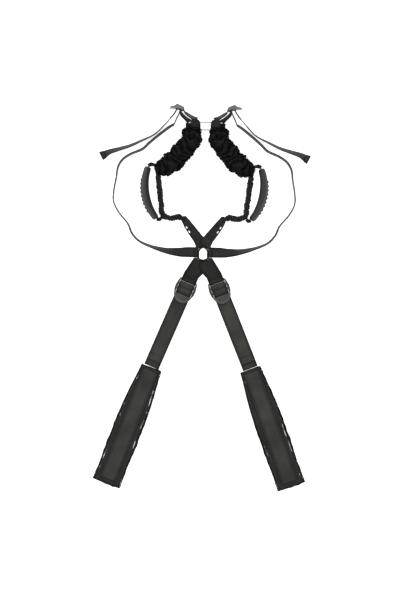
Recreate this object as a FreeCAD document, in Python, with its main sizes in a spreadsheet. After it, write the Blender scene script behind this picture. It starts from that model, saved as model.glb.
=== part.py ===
import FreeCAD, Part
import math
import os

# Webbing body harness that lies flat: an X of straps with two padded leg straps in ladder-lock
# buckles, two plush shoulder sleeves joined by a metal ring, two hand grips and two side straps.
# Millimetres.  +Z is up and z = 0 is the table.  +Y points from the pads to the ring, and the
# origin is under the middle of the harness.  Every route below is given as (out, y), with out the
# distance from the mid-plane, and side = -1 makes the left half and +1 the right half.

V = FreeCAD.Vector
Z_UP = V(0, 0, 1)
doc = FreeCAD.newDocument("harness")

# ------------------------------------------------------------------ driving dimensions
SHEET_ROWS = [
    ("wide_webbing", 38.0),
    ("narrow_webbing", 25.0),
    ("webbing_thickness", 1.6),
    ("leg_angle", 22.5),
    ("pad_angle", 20.4),
    ("bar_out", 33.8),
    ("bar_y", 39.0),
    ("bar_height", 4.6),
    ("bar_radius", 2.2),
    ("running_gap", 0.35),
    ("leg_buckle_thickness", 6.4),
    ("leg_buckle_window", 39.4),
    ("pad_length", 302.0),
    ("pad_thickness", 8.0),
    ("pad_skin", 1.0),
    ("pad_strip_width", 41.0),
    ("pad_lip_height", 11.0),
    ("pad_lip_width", 1.8),
    ("piping_radius", 1.3),
    ("tail_lift", 11.6),
    ("tail_length", 210.0),
    ("tail_hem_length", 14.0),
    ("side_buckle_window", 26.4),
    ("side_buckle_width", 32.0),
    ("ring_radius", 2.0),
    ("ring_height", 13.6),
    ("ring_tilt", 41.0),
    ("ring_length", 44.0),
    ("ring_span", 22.0),
    ("ring_y", 416.0),
    ("ring_loop_width", 9.0),
    ("top_tab_height", 29.3),
    ("core_width", 20.0),
    ("rail_width", 10.0),
    ("rail_thickness", 3.2),
    ("rail_thickness_gap", 0.2),
    ("gather_width", 14.0),
    ("gather_height", 13.0),
    ("grip_centre_out", 27.2),
    ("grip_centre_y", 269.7),
    ("grip_arc_radius", 118.5),
    ("grip_sweep", 63.6),
    ("grip_start", 157.8),
    ("grip_width", 18.0),
    ("grip_height", 21.0),
    ("tooth_count", 9.0),
    ("tooth_sweep", 36.0),
    ("grommet_height", 6.0),
]
sheet = doc.addObject("Spreadsheet::Sheet", "sizes")
for number, (alias, value) in enumerate(SHEET_ROWS, start=1):
    sheet.set(f"A{number}", alias)
    sheet.set(f"B{number}", str(value))
    sheet.setAlias(f"B{number}", alias)
doc.recompute()


def size(alias):
    """Value of one named cell."""
    return float(sheet.get(alias))


WEB = size("webbing_thickness")
HALF_WIDE = size("wide_webbing") / 2
HALF_NARROW = size("narrow_webbing") / 2
pieces = []


# ------------------------------------------------------------------ routes and outlines
def unit(vector):
    return V(vector).normalize()


def left_of(tangent):
    return V(-tangent.y, tangent.x, 0)


def rounded_route(points, radii=None):
    """Straight runs joined by tangent arcs.  Each item is a list of (point, tangent): two for a
    run, three (start, middle, end) for an arc.  Without radii, each arc is as large as 0.45 of
    the shorter run beside it allows."""
    corners = [V(x, y, 0) for x, y in points]
    items = []
    last = corners[0]
    for i in range(1, len(corners) - 1):
        before = corners[i] - corners[i - 1]
        after = corners[i + 1] - corners[i]
        t_in, t_out = unit(before), unit(after)
        turn = t_in.getAngle(t_out)
        cut = 0.45 * min(before.Length, after.Length)
        if radii:
            cut = radii[i - 1] * math.tan(turn / 2)
        radius = cut / math.tan(turn / 2)
        start = corners[i] - t_in * cut
        end = corners[i] + t_out * cut
        side = 1 if t_in.cross(t_out).z > 0 else -1
        centre = start + left_of(t_in) * (side * radius)
        middle_dir = unit(corners[i] - centre)
        middle = centre + middle_dir * radius
        if start.distanceToPoint(last) > 1e-4:
            items.append([(last, t_in), (start, t_in)])
        items.append([(start, t_in), (middle, V(middle_dir.y, -middle_dir.x, 0) * -side),
                      (end, t_out)])
        last = end
    t_last = unit(corners[-1] - last)
    items.append([(last, t_last), (corners[-1], t_last)])
    return items


def curve(points):
    """Line through two points, or arc through three."""
    if len(points) == 2:
        return Part.LineSegment(*points)
    return Part.Arc(*points)


def strip_outline(points, half, radii=None):
    """Closed outline of a strip that follows a route at the same distance on both sides."""
    items = rounded_route(points, radii)
    left = [[p + left_of(t) * half for p, t in item] for item in items]
    right = [[p - left_of(t) * half for p, t in item][::-1] for item in items[::-1]]
    edges = [curve(side) for side in left]
    edges.append(Part.LineSegment(left[-1][-1], right[0][0]))
    edges += [curve(side) for side in right]
    edges.append(Part.LineSegment(right[-1][-1], left[0][0]))
    return edges


def polygon(points):
    """Closed outline with straight sides."""
    corners = [V(x, y, 0) for x, y in points]
    return [Part.LineSegment(a, b) for a, b in zip(corners, corners[1:] + corners[:1])]


def mirrored(points, side):
    """Route or outline given as (out, y) on the chosen half."""
    return [(side * out, y) for out, y in points]


# ------------------------------------------------------------------ bodies and features
def turned(x, y, z, degrees, axis=Z_UP):
    return FreeCAD.Placement(V(x, y, z), FreeCAD.Rotation(axis, degrees))


def new_body(label, placement=FreeCAD.Placement()):
    body = doc.addObject("PartDesign::Body", label)
    body.Label = label
    body.Placement = placement
    pieces.append(body)
    return body


def sketch(body, plane, edges, offset=0.0, placement=None):
    """Sketch on one of the body's own origin planes, moved along the plane's normal."""
    drawn = body.newObject("Sketcher::SketchObject", body.Label + "_sketch")
    support = next(f for f in body.Origin.OriginFeatures if f.Role == plane)
    drawn.AttachmentSupport = [(support, "")]
    drawn.MapMode = "FlatFace"
    drawn.AttachmentOffset = placement or turned(0, 0, offset, 0)
    drawn.addGeometry(edges, False)
    return drawn


def pad(body, profile, length, symmetric=False):
    """Pad whose length follows a formula of the sheet's cells."""
    made = body.newObject("PartDesign::Pad", body.Label + "_pad")
    made.Profile = profile
    made.SideType = "Symmetric" if symmetric else "One side"
    made.setExpression("Length", length)
    doc.recompute()
    return made


def pocket(body, profile, length, symmetric=False, reverse=False):
    """Pocket that must take material away."""
    before = body.Shape.Volume
    made = body.newObject("PartDesign::Pocket", body.Label + "_pocket")
    made.Profile = profile
    made.SideType = "Symmetric" if symmetric else "One side"
    made.Reversed = reverse
    made.setExpression("Length", length)
    doc.recompute()
    if body.Shape.Volume > before - 0.01:
        raise ValueError(f"{body.Label}: the pocket removed nothing")
    return made


def fillet(body, feature, wanted, radius):
    """Round the edges of the feature that the test picks."""
    names = [f"Edge{i}" for i, edge in enumerate(feature.Shape.Edges, start=1) if wanted(edge)]
    made = body.newObject("PartDesign::Fillet", body.Label + "_fillet")
    made.Base = (feature, names)
    made.Radius = radius
    doc.recompute()
    return made


def profile_band(label, points, radii, half, width, placement):
    """Webbing that bends up and down: its side profile, drawn in (along, z), padded across."""
    body = new_body(label, placement)
    outline = strip_outline(points, half, radii)
    pad(body, sketch(body, "YZ_Plane", outline), width, symmetric=True)
    return body


# Distance over which a standing band comes down to the table from its raised end.
LEVEL_BY = 60.0


def twisted_band(label, points, widths, edge_lift=0.0, fold=1):
    """Webbing that stands on its edge and turns flat: a ruled loft through its sections.
    widths gives the turn in degrees from upright at each point of the route."""
    half_w, half_t = HALF_NARROW, WEB * fold / 2
    items = rounded_route(points)
    corners = [V(x, y, 0) for x, y in points]
    total = [0.0]
    for a, b in zip(corners, corners[1:]):
        total.append(total[-1] + a.distanceToPoint(b))

    def turn_at(point):
        place, near = min(
            ((total[i] + (point - a).dot(unit(b - a)), a.distanceToPoint(point) +
              b.distanceToPoint(point) - a.distanceToPoint(b))
             for i, (a, b) in enumerate(zip(corners, corners[1:]))), key=lambda pair: pair[1])
        place = min(max(place, 0.0), total[-1])
        i = max(k for k in range(len(total) - 1) if total[k] <= place + 1e-9)
        share = (place - total[i]) / (total[i + 1] - total[i])
        return widths[i] + (widths[i + 1] - widths[i]) * share

    stations = [items[0][0]]
    for item in items:
        stations += item[1:]
    wires = []
    for point, tangent in stations:
        turn = math.radians(turn_at(point))
        side = left_of(tangent)
        across = Z_UP * math.cos(turn) + side * math.sin(turn)
        through = side * math.cos(turn) - Z_UP * math.sin(turn)
        raised = edge_lift * max(0.0, 1.0 - point.distanceToPoint(corners[0]) / LEVEL_BY)
        height = half_w * abs(math.cos(turn)) + half_t * abs(math.sin(turn)) + raised
        middle = point + Z_UP * height
        ring = [middle + across * (a * half_w) + through * (b * half_t)
                for a, b in ((1, 1), (-1, 1), (-1, -1), (1, -1))]
        wires.append(Part.makePolygon(ring + ring[:1]))
    feature = doc.addObject("Part::Feature", label)
    feature.Label = label
    feature.Shape = Part.makeLoft(wires, True, True)
    pieces.append(feature)
    return feature


def pipe(body, kind, section, route_edges, plane_z, start, tangent):
    """Additive or subtractive pipe along a level route; section edges are in (across, up)."""
    spine = sketch(body, "XY_Plane", route_edges, plane_z)
    angle = math.degrees(math.atan2(tangent.x, -tangent.y))
    offset = FreeCAD.Placement(V(start.x, plane_z, -start.y), FreeCAD.Rotation(V(0, 1, 0), angle))
    profile = sketch(body, "XZ_Plane", section, placement=offset)
    made = body.newObject(f"PartDesign::{kind}Pipe", body.Label + "_pipe")
    made.Profile = profile
    made.Spine = (spine, [f"Edge{i + 1}" for i in range(len(route_edges))])
    made.Mode = "Frenet"
    doc.recompute()
    return made


def ellipse(half_x, half_y):
    """Closed oval section centred on the sketch origin."""
    if half_x >= half_y:
        return [Part.Ellipse(V(half_x, 0, 0), V(0, half_y, 0), V(0, 0, 0))]
    return [Part.Ellipse(V(0, half_y, 0), V(-half_x, 0, 0), V(0, 0, 0))]


def box_section(half_x, half_y):
    return polygon([(-half_x, -half_y), (half_x, -half_y), (half_x, half_y), (-half_x, half_y)])


def route_edges(points, radii=None):
    """A route's centre line as runs and arcs."""
    return [curve([p for p, _ in item]) for item in rounded_route(points, radii)]


# ------------------------------------------------------------------ the leg frame
# Its origin is the middle of the buckle's fixed bar.  Local -Y runs down the leg.
def leg_place(side):
    return turned(side * size("bar_out"), size("bar_y"), 0, side * size("leg_angle"))


def in_leg(side, points):
    """Points on the table, given as (out, y), in the leg frame."""
    back = leg_place(side).inverse()
    moved = [back.multVec(V(side * out, y, 0)) for out, y in points]
    return [(p.x, p.y) for p in moved]


LOWER_STRAP = [(22.6, 96.4), (12.8, 96.4), (12.8, 92.2), (5.6, 90.6), (0.0, 88.2), (-9.5, 82.0),
               (-9.5, 72.0), (0.0, 57.0)]
UPPER_STRAP = [(53.5, 184.0), (50.5, 197.5), (43.0, 197.5), (31.0, 184.0), (16.5, 168.0),
               (0.0, 147.0), (-8.5, 139.0), (-8.5, 133.0), (0.0, 124.8), (7.8, 121.3),
               (12.9, 113.2), (12.9, 97.0), (20.5, 97.0), (20.5, 112.0), (18.0, 123.0), (23.0, 135.0),
               (36.5, 154.0), (47.0, 170.0)]
GROMMET = [(0.0, 124.5), (7.5, 121.0), (12.6, 113.0), (12.6, 92.5), (5.5, 91.0), (0.0, 88.5),
           (-5.5, 91.0), (-12.6, 92.5), (-12.6, 113.0), (-7.5, 121.0)]
GROMMET_HOLE = [(0.0, 120.6), (5.4, 117.8), (9.2, 111.6), (9.2, 95.6), (4.4, 94.4), (0.0, 92.4),
                (-4.4, 94.4), (-9.2, 95.6), (-9.2, 111.6), (-5.4, 117.8)]


def lower_strap(name, side, bottom):
    """Wide webbing from the crossing to the fixed bar, where it wraps round and is sewn back."""
    body = new_body(f"lower_strap_{name}", leg_place(side))
    flat_end = 16.0
    outline = in_leg(side, LOWER_STRAP) + [(-side * HALF_WIDE, flat_end)]
    outline.append((side * HALF_WIDE, flat_end))
    pad(body, sketch(body, "XY_Plane", polygon(outline), bottom), "sizes.webbing_thickness")
    bar_z = size("bar_height")
    wrap = size("bar_radius") + size("running_gap") + WEB / 2
    corners = [(flat_end + 0.1, bottom + WEB / 2), (wrap + 5.0, bottom + WEB / 2),
               (wrap + 1.0, bar_z + wrap), (-wrap, bar_z + wrap), (-wrap, bar_z - wrap),
               (wrap + 3.0, bar_z - wrap)]
    tight = 1.2
    radii = [tight + 1.4, tight + 1.4, wrap, wrap]
    loop = strip_outline(corners, WEB / 2, radii)
    pad(body, sketch(body, "YZ_Plane", loop), "sizes.wide_webbing", symmetric=True)


def upper_strap(name, side, bottom):
    """Narrow webbing from the gathered run to the crossing, folded beside the centre hole."""
    body = new_body(f"upper_strap_{name}")
    pad(body, sketch(body, "XY_Plane", polygon(mirrored(UPPER_STRAP, side)), bottom),
        "sizes.webbing_thickness")
    slots = []
    for out, y in ((41.2, 169.6), (34.6, 159.4)):
        route = mirrored([(out + 1.6, y + 2.6), (out - 1.6, y - 2.6)], side)
        slots += strip_outline(route, 1.5)
    pocket(body, sketch(body, "XY_Plane", slots, bottom - 1), "4", reverse=True)


def centre_grommet():
    """Stiff bound rim that keeps the hole in the crossing open."""
    body = new_body("centre_grommet")
    pad(body, sketch(body, "XY_Plane", polygon(GROMMET) + polygon(GROMMET_HOLE)),
        "sizes.grommet_height")


# ------------------------------------------------------------------ leg buckle and webbing
def leg_buckle(name, side):
    """Ladder-lock: two side rails, a round fixed bar, a toothed middle bar and a thumb tab."""
    body = new_body(f"leg_buckle_{name}", leg_place(side))
    rim = [(-21.8, 1.6), (-24.4, -7.5), (-26.0, -18.0), (-25.2, -29.0), (-21.4, -40.0)]
    bowed = [V(x, y, 0) for x, y in rim]
    low = V(0, -55.8, 0)
    right = [V(-p.x, p.y, 0) for p in bowed][::-1]
    outline = [Part.LineSegment(a, b) for a, b in zip(bowed, bowed[1:])]
    outline.append(Part.Arc(bowed[-1], low, right[0]))
    outline += [Part.LineSegment(a, b) for a, b in zip(right, right[1:])]
    outline.append(Part.LineSegment(right[-1], bowed[0]))
    frame = pad(body, sketch(body, "XY_Plane", outline, 2.2), "sizes.leg_buckle_thickness")
    corners = [e for e in frame.Shape.Edges if abs(e.tangentAt(e.FirstParameter).z) > 0.9]
    round_these = [e.CenterOfMass for e in corners]
    fillet(body, frame, lambda e: any(e.CenterOfMass.isEqual(c, 1e-4) for c in round_these), 3.0)
    window = polygon([(-19.7, 6.0), (19.7, 6.0), (19.7, -36.0), (-19.7, -36.0)])
    pocket(body, sketch(body, "XY_Plane", window, 1.0), "20", reverse=True)
    under = polygon([(-36.0, 2.0), (-36.0, 4.1), (-60.0, 7.4), (-60.0, 2.0)])
    pocket(body, sketch(body, "YZ_Plane", under), "60", symmetric=True)
    bar_z = size("bar_height")
    fixed = [Part.Circle(V(0, bar_z, 0), Z_UP, size("bar_radius"))]
    pad(body, sketch(body, "YZ_Plane", fixed), "sizes.leg_buckle_window + 2", symmetric=True)
    for y in (-13.0, -24.5):
        bar = polygon([(y - 2.4, 4.6), (y + 2.4, 4.6), (y + 2.4, 7.0), (y - 2.4, 7.0)])
        pad(body, sketch(body, "YZ_Plane", bar), "sizes.leg_buckle_window + 2", symmetric=True)
    ridge = polygon([(-37.5, 8.4), (-36.1, 4.6), (-36.1, 9.6), (-37.5, 9.6)])
    pad(body, sketch(body, "YZ_Plane", ridge), "sizes.leg_buckle_window - 4", symmetric=True)


def leg_webbing(name, side):
    """The adjustable webbing: load run under the buckle, over the toothed bars, and the tail
    that comes back out under the thumb tab."""
    place = leg_place(side)
    low = 1.0
    over = 7.0 + 0.15 + WEB / 2
    load = [(-227.3, low), (-8.6, low), (-8.6, over), (-29.0, over)]
    profile_band(f"leg_strap_{name}", load, [1.4, 1.4], WEB / 2, "sizes.wide_webbing", place)
    lift = size("tail_lift") + WEB
    hem_start = size("tail_hem_length") - size("tail_length")
    tail = [(-29.2, over), (-31.2, over), (-35.0, 2.85), (-58.0, 2.85), (-76.0, lift),
            (hem_start, lift)]
    profile_band(f"leg_tail_{name}", tail, [1.3, 1.6, 14.0, 14.0], WEB / 2,
                 "sizes.wide_webbing", place)
    end = [(hem_start - 0.1, lift), (-size("tail_length"), lift)]
    profile_band(f"leg_tail_hem_{name}", end, None, WEB, "sizes.wide_webbing", place)


# ------------------------------------------------------------------ leg pad
PAD_TOP_OUT, PAD_TOP_Y = 120.0, -172.5


def pad_outline(inset):
    """Half-widths down the pad: narrow at the top, even from a third of the way down."""
    length = size("pad_length")
    rows = [(26.2, 0.0), (31.8, 61.0), (35.0, 105.0), (35.4, 230.0), (34.0, 268.0), (35.0, length)]
    rows = [(half - inset, -min(max(down, inset), length - inset)) for half, down in rows]
    return polygon([(-half, y) for half, y in rows] + [(half, y) for half, y in rows[::-1]])


def leg_pad(name, side):
    """Foam in a fabric cover, edge binding that stands up as a lip, the sewn strip of webbing
    down the middle, and a glossy piping cord in the seam on each side of it."""
    place = turned(side * PAD_TOP_OUT, PAD_TOP_Y, 0, side * size("pad_angle"))
    lip = size("pad_lip_width")
    skin = size("pad_skin")
    cover = new_body(f"pad_cover_{name}", place)
    pad(cover, sketch(cover, "XY_Plane", pad_outline(lip)), "sizes.pad_thickness")
    inner = sketch(cover, "XY_Plane", pad_outline(lip + skin), skin)
    pocket(cover, inner, "sizes.pad_thickness - 2 * sizes.pad_skin", reverse=True)
    foam = new_body(f"pad_foam_{name}", place)
    pad(foam, sketch(foam, "XY_Plane", pad_outline(lip + skin), skin),
        "sizes.pad_thickness - 2 * sizes.pad_skin")
    binding = new_body(f"pad_binding_{name}", place)
    pad(binding, sketch(binding, "XY_Plane", pad_outline(0) + pad_outline(lip)),
        "sizes.pad_lip_height")
    strip = new_body(f"pad_strip_{name}", place)
    half = size("pad_strip_width") / 2
    long = size("pad_length")
    panel = polygon([(-half, -8.0), (half, -8.0), (half, 12.0 - long), (-half, 12.0 - long)])
    pad(strip, sketch(strip, "XY_Plane", panel, size("pad_thickness")), "sizes.webbing_thickness")
    for word, which in (("inner", -side), ("outer", side)):
        cord = new_body(f"pad_piping_{word}_{name}", place)
        route = [(which * 22.6, -22.0), (which * 25.6, -62.0), (which * 28.8, -106.0),
                 (which * 29.2, -230.0), (which * 28.4, -288.0)]
        height = size("pad_thickness") + size("piping_radius")
        start = V(route[0][0], route[0][1], 0)
        tangent = unit(V(route[1][0], route[1][1], 0) - start)
        circle = [Part.Circle(V(0, 0, 0), Z_UP, size("piping_radius"))]
        pipe(cord, "Additive", circle, route_edges(route), height, start, tangent)


# ------------------------------------------------------------------ side strap and its buckle
SIDE_ROUTE = [(76.4, 418.7), (87.5, 412.0), (117.0, 389.0), (136.0, 373.0), (150.0, 355.5),
              (180.0, 345.0), (199.0, 333.0), (211.5, 313.0), (214.0, 288.0), (220.0, 256.0),
              (221.5, 229.0), (207.0, 203.0), (181.5, 174.0), (176.0, 153.0), (156.0, 133.0),
              (126.0, 121.5), (90.0, 112.0), (58.0, 109.3), (38.0, 109.8), (15.0, 109.8)]
SIDE_TURNS = [0, 0, 0, 0, 2, 4, 4, 3, 0, 0, 0, 2, 3, 6, 8, 16, 34, 60, 84, 90]
TAIL_ROUTE = [(87.0, 432.0), (101.0, 416.0), (118.0, 398.0), (150.0, 380.5), (182.0, 365.0),
              (210.0, 356.0), (231.0, 350.0), (243.5, 343.5)]
TAIL_TURNS = [0, 0, 3, 8, 15, 20, 30, 48]
WEB_LIFT = 3.4
SIDE_BAR = (56.6, 457.2)
TURN_BAR = (66.5, 460.2)


def side_webbing(name, side):
    """The strap under the arm, the free tail beside it, and the tail's folded end."""
    turns = [side * t for t in SIDE_TURNS]
    twisted_band(f"side_strap_{name}", mirrored(SIDE_ROUTE, side), turns, WEB_LIFT)
    turns = [-side * t for t in TAIL_TURNS]
    twisted_band(f"side_tail_{name}", mirrored(TAIL_ROUTE, side), turns, WEB_LIFT)
    end = [(243.6, 343.45), (253.0, 338.6)]
    twisted_band(f"side_tail_hem_{name}", mirrored(end, side), [-side * 48, -side * 64], fold=2)


def side_buckle(name, side):
    """Ladder-lock for the narrow webbing, standing on its edge: profile drawn from above."""
    body = new_body(f"side_buckle_{name}")
    width = size("side_buckle_width")
    profile = mirrored([(52.6, 455.0), (54.6, 460.6), (62.5, 464.6), (70.5, 467.5), (74.5, 463.4),
                        (88.0, 459.6), (87.4, 457.2), (77.0, 457.6), (72.5, 456.0),
                        (62.0, 455.2), (56.0, 451.6)], side)
    pad(body, sketch(body, "XY_Plane", polygon(profile)), "sizes.side_buckle_width")
    wall = (width - size("side_buckle_window")) / 2
    gap = mirrored([(45.0, 440.0), (73.4, 440.0), (73.4, 480.0), (45.0, 480.0)], side)
    pocket(body, sketch(body, "XY_Plane", polygon(gap), wall), "sizes.side_buckle_window",
           reverse=True)
    for out, y in (SIDE_BAR, TURN_BAR):
        bar = [Part.Circle(V(side * out, y, 0), Z_UP, size("bar_radius"))]
        pad(body, sketch(body, "XY_Plane", bar, wall - 1), "sizes.side_buckle_window + 2")


def side_turn(name, side):
    """The webbing inside the buckle: the lead of the strap goes up between the bars, over the
    second one and down again into the lead of the tail."""
    body = new_body(f"side_turn_{name}")
    out, y = TURN_BAR
    reach = size("bar_radius") + 0.1 + WEB / 2
    route = [(75.4, 420.4), (70.0, 433.0), (out - reach, 450.0), (out - reach, y + reach),
             (out + reach, y + reach), (out + reach, 455.5), (78.0, 444.0), (86.2, 433.0)]
    outline = strip_outline(mirrored(route, side), WEB / 2, [20, 15, reach, reach, 3, 20])
    pad(body, sketch(body, "XY_Plane", outline, WEB_LIFT), "sizes.narrow_webbing")


def buckle_loop(name, side):
    """Webbing from the top of the sleeve round the fixed bar of the side buckle and back."""
    body = new_body(f"buckle_loop_{name}")
    out, y = SIDE_BAR
    reach = size("bar_radius") + size("running_gap") + WEB / 2
    route = [(38.0, 425.4), (out + reach, 442.5), (out + reach, y + reach),
             (out - reach, y + reach), (out - reach, 452.5), (23.0, 431.6)]
    outline = strip_outline(mirrored(route, side), WEB / 2, [12, reach, reach, 6])
    pad(body, sketch(body, "XY_Plane", outline, WEB_LIFT), "sizes.narrow_webbing")


TOP_TAB = [(13.0, 420.0), (14.5, 427.0), (23.0, 433.0), (34.0, 428.5), (38.0, 421.0),
           (36.5, 411.6), (14.0, 411.6)]


def sleeve_top(name, side):
    """Flat of webbing over the ring's end, where the loop's two plies and the core strap meet."""
    body = new_body(f"sleeve_top_{name}")
    outline = polygon(mirrored(TOP_TAB, side))
    pad(body, sketch(body, "XY_Plane", outline, size("top_tab_height")), "sizes.webbing_thickness")


# ------------------------------------------------------------------ ring and its loops
def centre_ring():
    """Oval metal ring that joins the two sleeves; it swings on its long axis."""
    body = new_body("centre_ring", turned(0, size("ring_y"), size("ring_height"),
                                          size("ring_tilt"), V(1, 0, 0)))
    bend = size("ring_span") / 2
    straight = (size("ring_length") - size("ring_span")) / 2
    spine = [Part.LineSegment(V(-straight, bend, 0), V(straight, bend, 0)),
             Part.Arc(V(straight, bend, 0), V(straight + bend, 0, 0), V(straight, -bend, 0)),
             Part.LineSegment(V(straight, -bend, 0), V(-straight, -bend, 0)),
             Part.Arc(V(-straight, -bend, 0), V(-straight - bend, 0, 0), V(-straight, bend, 0))]
    path = sketch(body, "XY_Plane", spine)
    circle = [Part.Circle(V(bend, 0, 0), Z_UP, size("ring_radius"))]
    section = sketch(body, "YZ_Plane", circle)
    made = body.newObject("PartDesign::AdditivePipe", "centre_ring_pipe")
    made.Profile = section
    made.Spine = (path, ["Edge1", "Edge2", "Edge3", "Edge4"])
    doc.recompute()


def ring_loop(name, side, core_bottom):
    """Teardrop of webbing, sewn to both faces of the core strap, that holds the ring's end."""
    body = new_body(f"ring_loop_{name}", turned(0, size("ring_y"), 0, 0))
    top = core_bottom + WEB * 1.5
    bottom = core_bottom - WEB / 2
    high, low = 28.2, WEB / 2
    route = [(40.0, top), (33.5, top), (22.0, high), (13.0, high), (13.0, low), (25.0, low),
             (34.0, bottom), (40.0, bottom)]
    outline = strip_outline(mirrored(route, side), WEB / 2, [2, 4, 4, 4, 6, 6])
    pad(body, sketch(body, "XZ_Plane", outline), "sizes.ring_loop_width", symmetric=True)


# ------------------------------------------------------------------ plush sleeve
# Each row: out, y, width, height of the sleeve.
SLEEVE_ROWS = [(38.6, 409.0, 30.0, 24.0), (34.7, 396.6, 55.6, 33.0), (35.8, 381.0, 57.0, 36.0),
               (47.0, 366.0, 58.0, 36.0), (62.0, 347.5, 58.0, 35.0), (75.5, 330.0, 56.0, 33.0),
               (89.0, 319.5, 51.0, 31.0), (102.0, 313.0, 40.0, 26.0), (114.5, 310.5, 25.0, 20.0)]
CORE_ROUTE = [(38.6, 423.6), (38.0, 404.0), (37.5, 388.0), (41.0, 374.0), (52.0, 358.0),
              (72.0, 336.0), (90.0, 320.0), (119.8, 308.0)]
TAB_ROUTE = [(112.0, 317.0), (133.0, 323.0)]
TAB_HALF = 4.0


def plush_sleeve(name, side, core_bottom):
    """Scrunched plush tube round the core strap."""
    body = new_body(f"plush_sleeve_{name}")
    centres = [V(side * row[0], row[1], 0) for row in SLEEVE_ROWS]
    profiles = []
    for i, row in enumerate(SLEEVE_ROWS):
        tangent = unit(centres[min(i + 1, len(centres) - 1)] - centres[max(i - 1, 0)])
        if i == 0:
            tangent = V(0, -1, 0)
        angle = math.degrees(math.atan2(tangent.x, -tangent.y))
        place = FreeCAD.Placement(V(centres[i].x, row[3] / 2, -centres[i].y),
                                  FreeCAD.Rotation(V(0, 1, 0), angle))
        profiles.append(sketch(body, "XZ_Plane", ellipse(row[2] / 2, row[3] / 2),
                               placement=place))
    loft = body.newObject("PartDesign::AdditiveLoft", body.Label + "_loft")
    loft.Profile = profiles[0]
    loft.Sections = [(profile, [""]) for profile in profiles[1:]]
    loft.Ruled = True
    doc.recompute()
    longer = [(38.6, 430.0)] + CORE_ROUTE[1:-1] + [(127.0, 305.1)]
    slot = strip_outline(mirrored(longer, side), size("core_width") / 2 + 0.4)
    pocket(body, sketch(body, "XY_Plane", slot, core_bottom - 0.2), "2", reverse=True)
    ends = strip_outline(mirrored(TAB_ROUTE, side), TAB_HALF + 0.3)
    pocket(body, sketch(body, "XY_Plane", ends, core_bottom - 0.2), "4", reverse=True)
    rail = strip_outline(mirrored(RAIL_START, side), size("rail_width") / 2 + 0.3)
    low = core_bottom - size("rail_thickness")
    pocket(body, sketch(body, "XY_Plane", rail, low - 0.2), "4", reverse=True)


def core_strap(name, side, core_bottom):
    """Webbing that carries the load through the plush sleeve."""
    body = new_body(f"core_strap_{name}")
    outline = strip_outline(mirrored(CORE_ROUTE, side), size("core_width") / 2)
    pad(body, sketch(body, "XY_Plane", outline, core_bottom), "sizes.webbing_thickness")


def grip_tabs(name, side, core_bottom):
    """Short webbing tabs, one sewn to each end of the gathered run, that hold the grip."""
    upper = new_body(f"grip_tab_upper_{name}")
    outline = strip_outline(mirrored(TAB_ROUTE, side), TAB_HALF)
    pad(upper, sketch(upper, "XY_Plane", outline, core_bottom + WEB), "sizes.webbing_thickness")
    lower = new_body(f"grip_tab_lower_{name}")
    outline = strip_outline(mirrored([(104.2, 191.2), (109.0, 185.2)], side), TAB_HALF)
    pad(lower, sketch(lower, "XY_Plane", outline, 5.0), "sizes.webbing_thickness")


# ------------------------------------------------------------------ gathered run
RAIL_START = [(115.6, 306.0), (113.5, 293.4)]
GATHER_ROUTE = [(113.5, 293.4), (110.8, 276.0), (107.8, 252.0), (104.5, 231.0), (103.0, 207.0),
                (99.0, 196.5), (80.0, 190.5), (71.0, 192.8), (62.0, 196.2), (54.6, 192.0)]
GATHER_BENDS = [150.0, 150.0, 150.0, 20.0, 8.0, 12.0, 30.0, 8.0]
CORNER_SPLIT = (101.0, 201.75)
RAIL_END = (47.6, 188.0)


def gathered_sleeve(label, route, bends, side, rail_bottom):
    """Ruffled fabric tube over the folded rail strap."""
    body = new_body(label)
    points = mirrored(route, side)
    edges = route_edges(points, bends)
    start = V(points[0][0], points[0][1], 0)
    tangent = unit(V(points[1][0], points[1][1], 0) - start)
    height = size("gather_height") / 2
    pipe(body, "Additive", ellipse(size("gather_width") / 2, height), edges, height, start,
         tangent)
    before = body.Shape.Volume
    gap = size("rail_thickness_gap")
    hollow = box_section(size("rail_width") / 2 + gap, size("rail_thickness") / 2 + gap)
    middle = rail_bottom + size("rail_thickness") / 2
    pipe(body, "Subtractive", hollow, edges, middle, start, tangent)
    if body.Shape.Volume > before - 1:
        raise ValueError(f"{label}: the hollow removed nothing")


def rail_strap(name, side, rail_bottom):
    """Folded webbing inside the gathered sleeves, from the core strap to the upper strap."""
    body = new_body(f"rail_strap_{name}")
    route = RAIL_START[:1] + GATHER_ROUTE[1:-1] + [RAIL_END]
    outline = strip_outline(mirrored(route, side), size("rail_width") / 2, GATHER_BENDS)
    pad(body, sketch(body, "XY_Plane", outline, rail_bottom), "sizes.rail_thickness")


# ------------------------------------------------------------------ hand grip
def grip_place(side):
    return turned(side * size("grip_centre_out"), size("grip_centre_y"), 0, 0)


def grip_section(half_w, low, high, chamfer):
    """Eight-sided section of the handle, in (radius, z)."""
    mid = size("grip_arc_radius")
    return [(mid - half_w, low + chamfer), (mid - half_w + chamfer, low),
            (mid + half_w - chamfer, low), (mid + half_w, low + chamfer),
            (mid + half_w, high - chamfer), (mid + half_w - chamfer, high),
            (mid - half_w + chamfer, high), (mid - half_w, high - chamfer)]


def swept(body, points, side, start, sweep, kind="Revolution"):
    """Turn a section about the grip's own centre line, from the start angle through the sweep."""
    angle = start if side < 0 else 180.0 - start
    flat = FreeCAD.Rotation(V(0, 1, 0), angle)
    drawn = sketch(body, "XZ_Plane", polygon(points), placement=FreeCAD.Placement(V(), flat))
    made = body.newObject(f"PartDesign::{kind}", body.Label + "_turned")
    made.Profile = drawn
    axis = next(f for f in body.Origin.OriginFeatures if f.Role == "Z_Axis")
    made.ReferenceAxis = (axis, [""])
    made.Reversed = side > 0
    made.setExpression("Angle", sweep)
    doc.recompute()
    return made


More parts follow.
